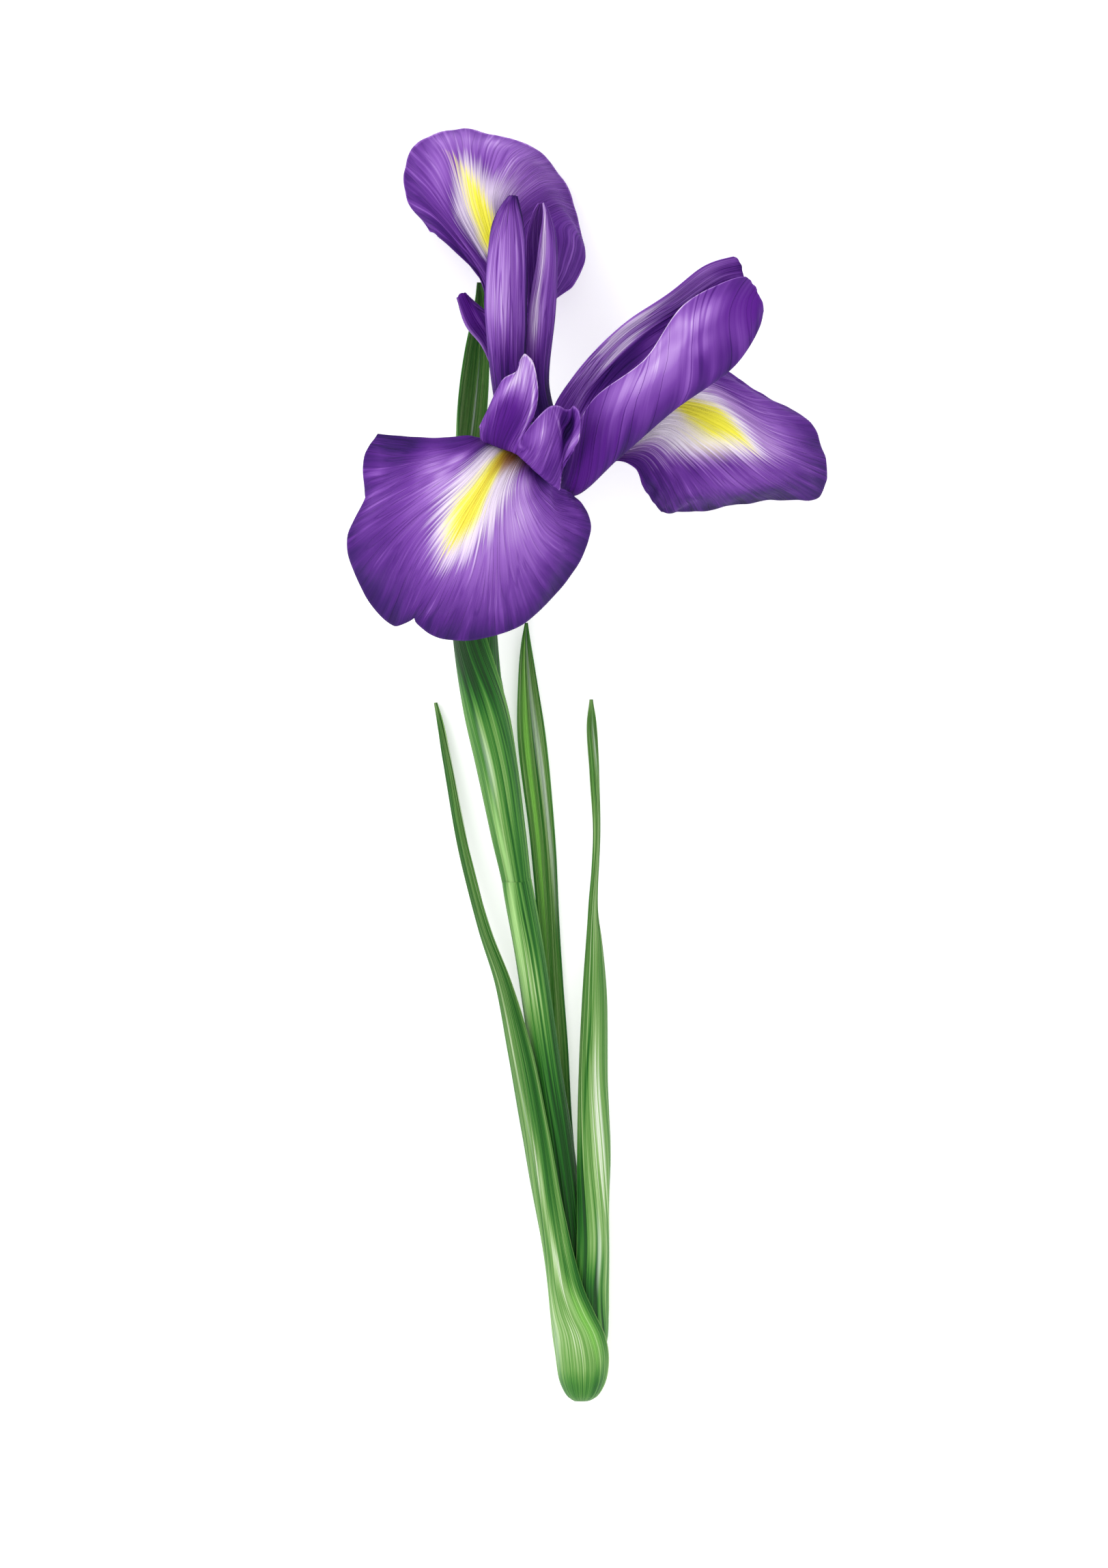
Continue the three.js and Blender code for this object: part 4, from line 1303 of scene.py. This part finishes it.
def round_piece(name, stations, side, size, finish, ridge=0.0):
    """A closed piece along stations. Its size is a number of rows and of sides."""
    rows, sides = size
    points = round_points(stations, side, ridge, rows, sides)
    index = np.arange((rows + 1) * sides).reshape(rows + 1, sides)
    after = np.roll(index, -1, axis=1)
    walls = quads(index[:-1], index[1:], after[1:], after[:-1])
    ends = [index[0].tolist(), index[-1][::-1].tolist()]
    mesh = bpy.data.meshes.new(name)
    mesh.from_pydata((points.reshape(-1, 3) * MM).tolist(), [], walls.tolist() + ends)
    smooth = np.ones(len(mesh.polygons), bool)
    smooth[-2:] = False
    mesh.polygons.foreach_set("use_smooth", smooth)
    chart = mesh.uv_layers.new(name=CHART)
    chart.data.foreach_set("uv", round_chart(rows, sides).ravel())
    mesh.materials.append(finish)
    return put(name, mesh)


print("corners in a chart of 2 rows and 8 sides:", len(round_chart(2, 8)))

# %% [markdown]
# ## Green finishes
#
# Leaves and stem of an iris are ribbed lengthwise. A waxy bloom makes some of the stripes
# pale, and a young part is a fresher green. A light lime stripe on a stem or sheath, and the
# pale patch on the hollow of the middle leaf, are painted highlights. The same streaks as on
# the petals are drawn out further here, and one band of greens takes the place of the
# violets. Stripes are very long patches, and many of them are painted light and shade.

# %% Leaf finish
GREENS = [
    (0.0, "#083c08"), (0.25, "#145f10"), (0.5, "#42802c"), (0.7, "#6d9c4c"), (0.85, "#9dc07d"),
    (1.0, "#dce8cf"),
]
LEAF_ROUGHNESS = 0.48
LEAF_GLOSS = 0.25
LEAF_RIBS = {"Count": 16.0, "Run": 1.8}
LEAF_FEATHER = 0.3
LEAF_BASE = 0.21
LEAF_DEPTHS = {"Streak": 0.3, "Fine": 0.22, "Wash": 0.12, "Vein": -0.14}
RIB_HEIGHT = 0.00012


def leaf_finish(name, look, seed):
    """A ribbed green face. Its look gives a tone, ribs, stripes, rims and marks."""
    finish, tree, shader = new_finish(name, LEAF_ROUGHNESS, LEAF_GLOSS)
    across, along = read_chart(tree)
    where = {"Across": across, "Along": along}
    ribs = {**LEAF_RIBS, **look.get("ribs", {})}
    lines = use_group(tree, STREAKS, **where, **ribs, Seed=float(seed))
    level = lined(tree, look["tone"] - LEAF_BASE, lines, LEAF_DEPTHS)
    spot = {**where, "Streak": lines["Streak"], "Feather": LEAF_FEATHER}
    level = toned(tree, spot, level, look.get("stripes", []), look.get("rims", []))
    colour = marked(tree, spot, ramp_of(tree, level, GREENS), look.get("marks", []))
    tree.links.new(colour, shader.inputs["Base Color"])
    raise_lines(tree, shader, sum_of(tree, "ADD", lines["Streak"], lines["Fine"]), RIB_HEIGHT)
    return finish


print("steps from the darkest green to the palest:", len(GREENS))

# %% [markdown]
# ## Stem and ovary
#
# The stem of an iris is round. Its upper part is made a little thinner here, to leave room
# for the sheath of the outer spathe. The ovary sits on its top and swells in three
# ridges below the tube that carries the petals. One stripe of tone is very short and very
# wide: it is the pale ring at the cut end. A plain cylinder would be quicker than the ten
# or so stations, but a stem is never quite straight.

# %% Stem and ovary
# The pale grey-green is a waxy bloom, and on the middle leaf a painted highlight. The lime green
# is a painted highlight along a stem or sheath.
FRESH, HIGHLIGHT_GREEN, WAX_AND_HIGHLIGHT = "#78c644", "#a2d17f", "#c3d6be"
STEM_GRID, OVARY_GRID = (160, 48), (80, 48)
OVARY_RIDGE = 0.06
STEM = [
    [-0.9, -137, 6.2, 2.6, 2.6],
    [-1.0, -135, 6.2, 3.15, 3.15],
    [-2.4, -117, 6.5, 3.15, 3.15],
    [-5.9, -87, 7, 3.3, 3.3],
    [-9.2, -66, 7.4, 3.3, 3.3],
    [-12.7, -42, 8, 3.3, 3.3],
    [-15.4, -27, 9, 3.3, 3.3],
    [-16.55, -20, 9.45, 2.9, 2.9],
    [-18.2, -10, 10.2, 2.9, 2.9],
    [-21.2, 6, 11.6, 2.9, 2.9],
    [-23.6, 21, 13.2, 2.9, 2.9],
    [-24.4, 33, 14.7, 2.2, 2.2],
]
OVARY = [
    [-24.4, 33.8, 15, 1.7, 1.7],
    [-23.7, 38, 16.2, 1.8, 1.8],
    [-21.6, 44.5, 20, 2.7, 2.7],
    [-18.4, 50.8, 24.6, 3, 3],
    [-14.9, 56, 28.7, 2.1, 2.1],
    [*(MOUTH - AXIS * 3), 2.1, 2.1],
    [*MOUTH, 4.6, 4.6],
]
SIDEWAYS = np.array([1.0, 0.0, 0.0])

STEM_LOOK = {
    "tone": 0.46,
    # Most stripes are painted light and shade: a highlight stripe on the side toward the lamp,
    # and darker bands on the shaded side and low on the stem. The lime mark is a painted
    # highlight too. The short, wide last stripe is the pale ring at the cut end.
    "stripes": [(0.16, 0.61, 0.46, 0.14, 0.13, 0), (-0.36, 0.42, 0.54, 0.15, 0.2, 0),
                (-0.5, 0.5, 0.28, 0.9, 0.24, 0), (0.24, 0.5, 0.3, 0.03, 0.16, 0.3),
                (0.3, 0.5, 0.42, 0.18, 0.07, 0), (0.08, 0.5, 0.33, 0.3, 0.08, 0),
                (0.7, 0.5, 0, 9, 0.006, 0)],
    "ribs": {"Count": 26.0, "Run": 3.0},
    "marks": [(HIGHLIGHT_GREEN, PATCH, 0.85, {"Middle": 0.6, "Height": 0.5, "Width": 0.07,
                                   "Length": 0.22, "Lean": -0.5})],
}

stem_green = leaf_finish("stem_green", STEM_LOOK, 41)
stem = round_piece("stem_rod", STEM, SIDEWAYS, STEM_GRID, stem_green)
stand_for(stem, "flower_stem")
ovary_green = leaf_finish("ovary_green", {"tone": 0.4}, 43)
ovary = round_piece("ovary_body", OVARY, SIDEWAYS, OVARY_GRID, ovary_green, OVARY_RIDGE)
stand_for(ovary, "ovary")

# %% [markdown]
# ## Stamens
#
# Under each style arm lies one stamen: a thin thread, and on it a long cream anther with
# grains of pollen. The arms hide all three here, so they are made simply, as round pieces.
# Fine noise on the upper part makes the grains. Modelled grains would add many faces that
# nobody sees.

# %% Pollen finish
POLLEN_ROUGHNESS = 0.85
POLLEN_GLOSS = 0.2
GRAINS_ROUND, GRAINS_ALONG = 30.0, 160.0
GRAIN_HEIGHT = 0.0001


def pollen_finish():
    """A pale thread that turns cream, with yellow grains on its upper part."""
    finish, tree, shader = new_finish("pollen_cream", POLLEN_ROUGHNESS, POLLEN_GLOSS)
    across, along = read_chart(tree)
    x = sum_of(tree, "MULTIPLY", across, GRAINS_ROUND)
    y = sum_of(tree, "MULTIPLY", along, GRAINS_ALONG)
    grains = step_of(tree, noise_of(tree, x, y, 2.0, 2.0, 0.6), 0.4, 0.6)
    anther = step_of(tree, along, 0.55, 0.75)
    dust = sum_of(tree, "MULTIPLY", grains, anther)
    thread = ramp_of(tree, along, [(0.0, "#d8c7e6"), (0.6, "#efe8d2")])
    tree.links.new(blend_of(tree, dust, thread, paint("#e0c25a")), shader.inputs["Base Color"])
    raise_lines(tree, shader, dust, GRAIN_HEIGHT)
    return finish


pollen = pollen_finish()
print("made the finish", pollen.name)

# %% Stamens
STAMENS = {
    "stamen_front": (0, 4, [[-12.5, 65, 44.5], [-13.6, 67.5, 51], [-15.2, 68.5, 56.8]]),
    "stamen_right": (120, 1.8, [[-3.3, 67, 32.3], [4.6, 72.8, 33.6], [11, 77, 34.8]]),
    "stamen_back": (-120, 3.8, [[-14.8, 72.3, 30.4], [-16.6, 84.6, 27.3], [-17.2, 93, 26.4]]),
}
STAMEN_RADIUS = 2.75
STAMEN_GRID = (60, 20)
STAMEN_SIZES = [(0.5, 0.45), (0.5, 0.45), (0.5, 0.45), (0.95, 0.5), (0.4, 0.3)]


def build_stamen(name):
    degrees, rise, points = STAMENS[name]
    foot = [place(degrees, STAMEN_RADIUS, height) for height in (SEAT_GAP, SEAT_GAP + rise)]
    stations = [[*point, *size] for point, size in zip([*foot, *points], STAMEN_SIZES)]
    side = radial(degrees + 90)
    stamen = round_piece(name + "_thread", stations, side, STAMEN_GRID, pollen)
    stand_for(stamen, name)


for name in STAMENS:
    build_stamen(name)

# %% [markdown]
# ## Spathes and leaves
#
# In section a leaf or a spathe is an arc. It is nearly closed round the stem where it is
# a sheath, and opens to a channel further up. Each station below gives the arc's place,
# its radius, the side that its back faces and half its angle, in degrees: 0 is right and
# 90 is up. A flat strip bent by a modifier would keep one bend from foot to tip, while a
# sheath opens into a blade.

# %% Stations and looks of spathes and leaves
# The fresh green, painted lighter to make up for the shade that the middle leaf lies in.
FRESH_LIT = "#92df5a"
CHANNELS = {
    "spathe_outer": {
        "slot": "spathe_green",
        "thickness": 0.6,
        "foot": 0.1,
        "stations": [
            [-26, -15.6, 9.06, 3.28, 170, 177], [-14, -17.6, 9.9, 3.8, 170, 177],
            [0, -20, 11.1, 4.45, 170, 175],
            [12, -22.3, 12.2, 4.85, 174, 164], [27, -24.2, 13.8, 5.15, 188, 124],
            [42, -24.9, 14.6, 5.3, 188, 80], [60, -24.4, 14, 5, 205, 72],
            [78, -24, 13, 4.5, 232, 62], [90, -23.4, 12.5, 3.7, 240, 58],
            [100, -22.9, 11.5, 2.2, 240, 52], [106.2, -23.6, 10.4, 0.7, 240, 45],
        ],
        "look": {
            "tone": 0.43,
            # Most stripes are painted light and shade: a highlight at the foot in line with the
            # stem's, a darker side turned from the lamp, and painted shadow under the bloom near
            # the top. The lime mark is a painted highlight too.
            "stripes": [(0.16, 0.34, 0.02, 0.14, 0.2, 0), (0.2, 0.32, 0.2, 0.03, 0.16, 0),
                        (-0.2, 0.23, 0.03, 0.1, 0.14, 0),
                        (-0.2, 0.24, 0.35, 0.18, 0.1, 0),
                        (-0.26, 0.14, 0.2, 0.14, 0.36, 0), (-0.6, 0.4, 0.44, 0.8, 0.19, 0),
                        (0.12, 0.5, 0.76, 0.6, 0.16, 0)],
            "ribs": {"Count": 30.0},
            "marks": [(HIGHLIGHT_GREEN, PATCH, 0.85, {"Middle": 0.345, "Height": 0.03, "Width": 0.055,
                                           "Length": 0.2, "Lean": 0.3}),
                      (WAX_AND_HIGHLIGHT, PATCH, 0.4, {"Middle": 0.33, "Height": 0.2, "Width": 0.04,
                                         "Length": 0.1}),
                      (WAX_AND_HIGHLIGHT, PATCH, 0.8, {"Middle": 0.7, "Height": 0.77, "Width": 0.04,
                                         "Length": 0.12})],
            "rims": [(0.08, 0.03)],
        },
    },
    "spathe_inner": {
        "slot": "spathe_green",
        "thickness": 0.6,
        "stations": [
            [0, -20, 11.1, 3.5, 20, 95], [12, -22.3, 12.2, 3.8, 10, 110],
            [27, -24.1, 13.8, 4.05, 0, 106], [36, -24.1, 14.7, 3.95, 335, 82],
            [44, -23.2, 14.4, 4.5, 312, 56], [58, -18.5, 13.6, 4.7, 295, 56],
            [72, -14.5, 12.4, 3.8, 285, 50], [80, -12.4, 11.4, 2.2, 280, 45],
            [84, -11.4, 10.4, 0.8, 275, 40],
        ],
        "look": {
            "tone": 0.36,
            # These darker stripes are painted shadow under the front fall.
            "stripes": [(-0.2, 0.5, 0.35, 0.6, 0.2, 0), (-0.2, 0.72, 0.31, 0.3, 0.1, 0)],
            "rims": [(0.1, 0.04)],
        },
    },
    "leaf_left": {
        "slot": "leaf_green",
        "thickness": 0.65,
        "stations": [
            [-140.2, -1.1, 6.1, 1.6, 180, 168], [-139.2, -1, 6.1, 3.2, 180, 168],
            [-136, -0.9, 6.1, 4.95, 180, 168], [-131, -0.9, 6.1, 5.8, 178, 160],
            [-126, -1.2, 6.3, 6.25, 170, 134], [-121, -1.7, 6.4, 6.25, 176, 118],
            [-116, -2.3, 6.4, 6.1, 178, 104], [-108, -3.6, 6.8, 5.8, 168, 84],
            [-96, -6.4, 7, 5.2, 150, 68], [-81, -9.5, 7.3, 4.8, 135, 58],
            [-63, -13.3, 7.2, 4.2, 130, 55], [-48, -17.3, 6.6, 3, 130, 50],
            [-36, -21.6, 5, 2.4, 135, 48], [-18, -26.3, 3, 2.2, 135, 45],
            [0, -29.6, 1.4, 2, 140, 42], [9, -31.4, 0.8, 1.6, 145, 38],
            [13.6, -32.9, 0.5, 0.8, 150, 30],
        ],
        "look": {
            "tone": 0.5,
            # Many of these stripes are painted light and shade: light ones are highlights on the
            # side toward the lamp, dark ones shade on the far side and at the foot.
            "stripes": [(0.36, 0.34, 0.3, 0.1, 0.2, 0.9), (0.3, 0.54, 0.56, 0.08, 0.22, 0),
                        (-0.16, 0.15, 0.2, 0.06, 0.05, 0), (-0.18, 0.25, 0.15, 0.06, 0.07, 0),
                        (-0.24, 0.1, 0.03, 0.1, 0.04, 0), (-0.14, 0.1, 0.19, 0.06, 0.05, 0),
                        (0.3, 0.3, 0.12, 0.34, 0.13, 0), (-0.26, 0.18, 0.5, 0.16, 0.36, 0),
                        (-0.36, 0.03, 0.17, 0.06, 0.14, 0), (-0.18, 0.36, 0.025, 0.5, 0.03, 0),
                        (0.24, 0.65, 0.2, 0.1, 0.12, 0), (0.3, 0.3, 0.35, 0.05, 0.08, 0),
                        (0.2, 0.23, 0.22, 0.08, 0.1, 0),
                        (-0.22, 0.5, 0.82, 0.6, 0.3, 0), (-0.24, 0.1, 1.0, 0.4, 0.09, 0)],
            "ribs": {"Count": 26.0},
            "marks": [(FRESH, PATCH, 0.6, {"Middle": 0.12, "Height": 0.12, "Width": 0.09,
                                           "Length": 0.08}),
                      (WAX_AND_HIGHLIGHT, PATCH, 0.35, {"Middle": 0.43, "Height": 0.09, "Width": 0.06,
                                          "Length": 0.06}),
                      (WAX_AND_HIGHLIGHT, PATCH, 0.4, {"Middle": 0.5, "Height": 0.42, "Width": 0.04,
                                         "Length": 0.14, "Lean": 0.7})],
            "rims": [(0.25, 0.03)],
        },
    },
    "leaf_middle": {
        "slot": "leaf_green",
        "thickness": 0.65,
        "stations": [
            [-126, -1.6, 6.35, 3.98, 290, 30], [-117, -2.4, 6.5, 3.98, 280, 38],
            [-99, -4.5, 6.8, 4, 278, 40], [-80, -6.6, 6.6, 4.2, 280, 40],
            [-63, -7, 6, 4, 270, 42], [-42, -8.2, 5, 3.6, 270, 40],
            [-18, -9.75, 5, 3.9, 270, 44], [6, -12.3, 5.2, 4.2, 270, 46],
            [18, -13.2, 6, 4.2, 270, 30], [26.9, -13.6, 6.6, 4, 270, 14],
            [31.2, -13.5, 7.2, 4, 270, 3],
        ],
        "look": {
            "tone": 0.52,
            # The dark stripe is painted shade on the half of the channel turned from the lamp,
            # the light one a painted highlight on the half turned to it.
            "stripes": [(-0.24, 0.54, 0.75, 0.1, 0.4, 0), (0.3, 0.76, 0.75, 0.12, 0.22, 0)],
            # The fresh strip is in the green painted lighter for this leaf's shade, and the pale
            # patch is a painted highlight.
            "marks": [(FRESH_LIT, PATCH, 0.95, {"Middle": 0.3, "Height": 0.78, "Width": 0.14,
                                             "Length": 0.34}),
                      (WAX_AND_HIGHLIGHT, PATCH, 0.95, {"Middle": 0.72, "Height": 0.79, "Width": 0.16,
                                          "Length": 0.28, "Lean": -0.9})],
            "rims": [(-0.3, 0.06)],
        },
    },
    "leaf_right": {
        "slot": "leaf_green",
        "thickness": 0.65,
        "stations": [
            [-134, -0.9, 6.2, 3.95, 0, 140], [-130, -0.9, 6.15, 4.35, 0, 120],
            [-126, -0.5, 6.1, 4.7, 12, 106], [-121, -0.4, 6.1, 4.8, 25, 92],
            [-116, -0.4, 6.3, 4.85, 28, 90], [-105, -0.2, 6.6, 4.7, 25, 92],
            [-87, 0.9, 7, 3.9, 60, 84], [-69, 1.1, 6, 3.2, 80, 80],
            [-51, 1.4, 5, 2.7, 80, 75], [-39, 1.3, 4, 1.8, 75, 70],
            [-31.7, 0.7, 3.2, 1.3, 50, 60], [-15, 1.2, 2.6, 1.3, 30, 60],
            [0, 0.8, 2.2, 1.5, 50, 58], [9, 0.6, 1.8, 1.3, 70, 50],
            [14.3, 0.75, 1.6, 0.5, 80, 35],
        ],
        "look": {
            "tone": 0.52,
            # Most of these stripes are painted light and shade: a highlight stripe on the side
            # toward the lamp and darker bands on the shaded side.
            "stripes": [(0.3, 0.5, 0.38, 0.22, 0.24, -0.3), (-0.36, 0.7, 0.45, 0.06, 0.14, -1),
                        (-0.5, 0.95, 0.26, 0.24, 0.14, 0), (-0.45, 0.76, 0.11, 0.3, 0.1, 0),
                        (-0.3, 0.58, 0.06, 0.16, 0.08, 0), (-0.16, 0.62, 0.16, 0.06, 0.05, 0),
                        (-0.34, 0.46, 0.16, 0.07, 0.2, 0), (0.2, 0.42, 0.68, 0.14, 0.1, 0),
                        (-0.1, 0.8, 0.9, 0.3, 0.1, 0), (-0.18, 0.76, 0.12, 0.2, 0.06, 0)],
            "marks": [(WAX_AND_HIGHLIGHT, PATCH, 0.6, {"Middle": 0.5, "Height": 0.93, "Width": 0.16,
                                         "Length": 0.06}),
                      (WAX_AND_HIGHLIGHT, PATCH, 0.4, {"Middle": 0.42, "Height": 0.36, "Width": 0.06,
                                         "Length": 0.14}),
                      (WAX_AND_HIGHLIGHT, PATCH, 0.7, {"Middle": 0.66, "Height": 0.18, "Width": 0.05,
                                         "Length": 0.08})],
            "rims": [(0.15, 0.03)],
        },
    },
}
print("spathes and leaves:", ", ".join(CHANNELS))

# %% [markdown]
# ## Growing the spathes and leaves
#
# Each arc becomes a row of the grid, and the rows run from the foot of a leaf to its tip.
# The blade thins toward its rims. The outer spathe also thins at its foot, where it ends
# flush on the stem. One finish serves both faces.

# %% Spathes and leaves
CHANNEL_GRID = (180, 36)
CHANNEL_WAVES = {"ruffle": 0.1, "pleat": 0.04}
ARC_POINTS = 9
LEAF_RIM = 0.3
FOOT_LENGTH = 0.08


def arc(station):
    """Points round one station's arc: y, x, z, radius, side and half angle."""
    y, x, z, radius, facing, spread = station
    angles = np.radians(facing + spread * np.linspace(-1, 1, ARC_POINTS))
    ring = [x + radius * np.cos(angles), np.full(ARC_POINTS, y), z + radius * np.sin(angles)]
    return np.stack(ring, axis=1)


def build_channel(name, seed):
    made = CHANNELS[name]
    rings = [arc(station) for station in made["stations"]]
    grid, across, along = surface(rings, *CHANNEL_GRID)
    grid = ruffled(grid, across, along, **CHANNEL_WAVES, seed=seed)
    thickness = thickness_of(across, along, made["thickness"], LEAF_RIM)
    foot = made.get("foot", 1.0)
    thickness = thickness * (foot + (1 - foot) * ease(0.0, FOOT_LENGTH, along))
    green = leaf_finish(name + "_green", made["look"], seed)
    piece = thin_piece(name + "_blade", grid, across, along, thickness, [green, green])
    stand_for(piece, name)


for seed, name in enumerate(CHANNELS, start=51):
    build_channel(name, seed)
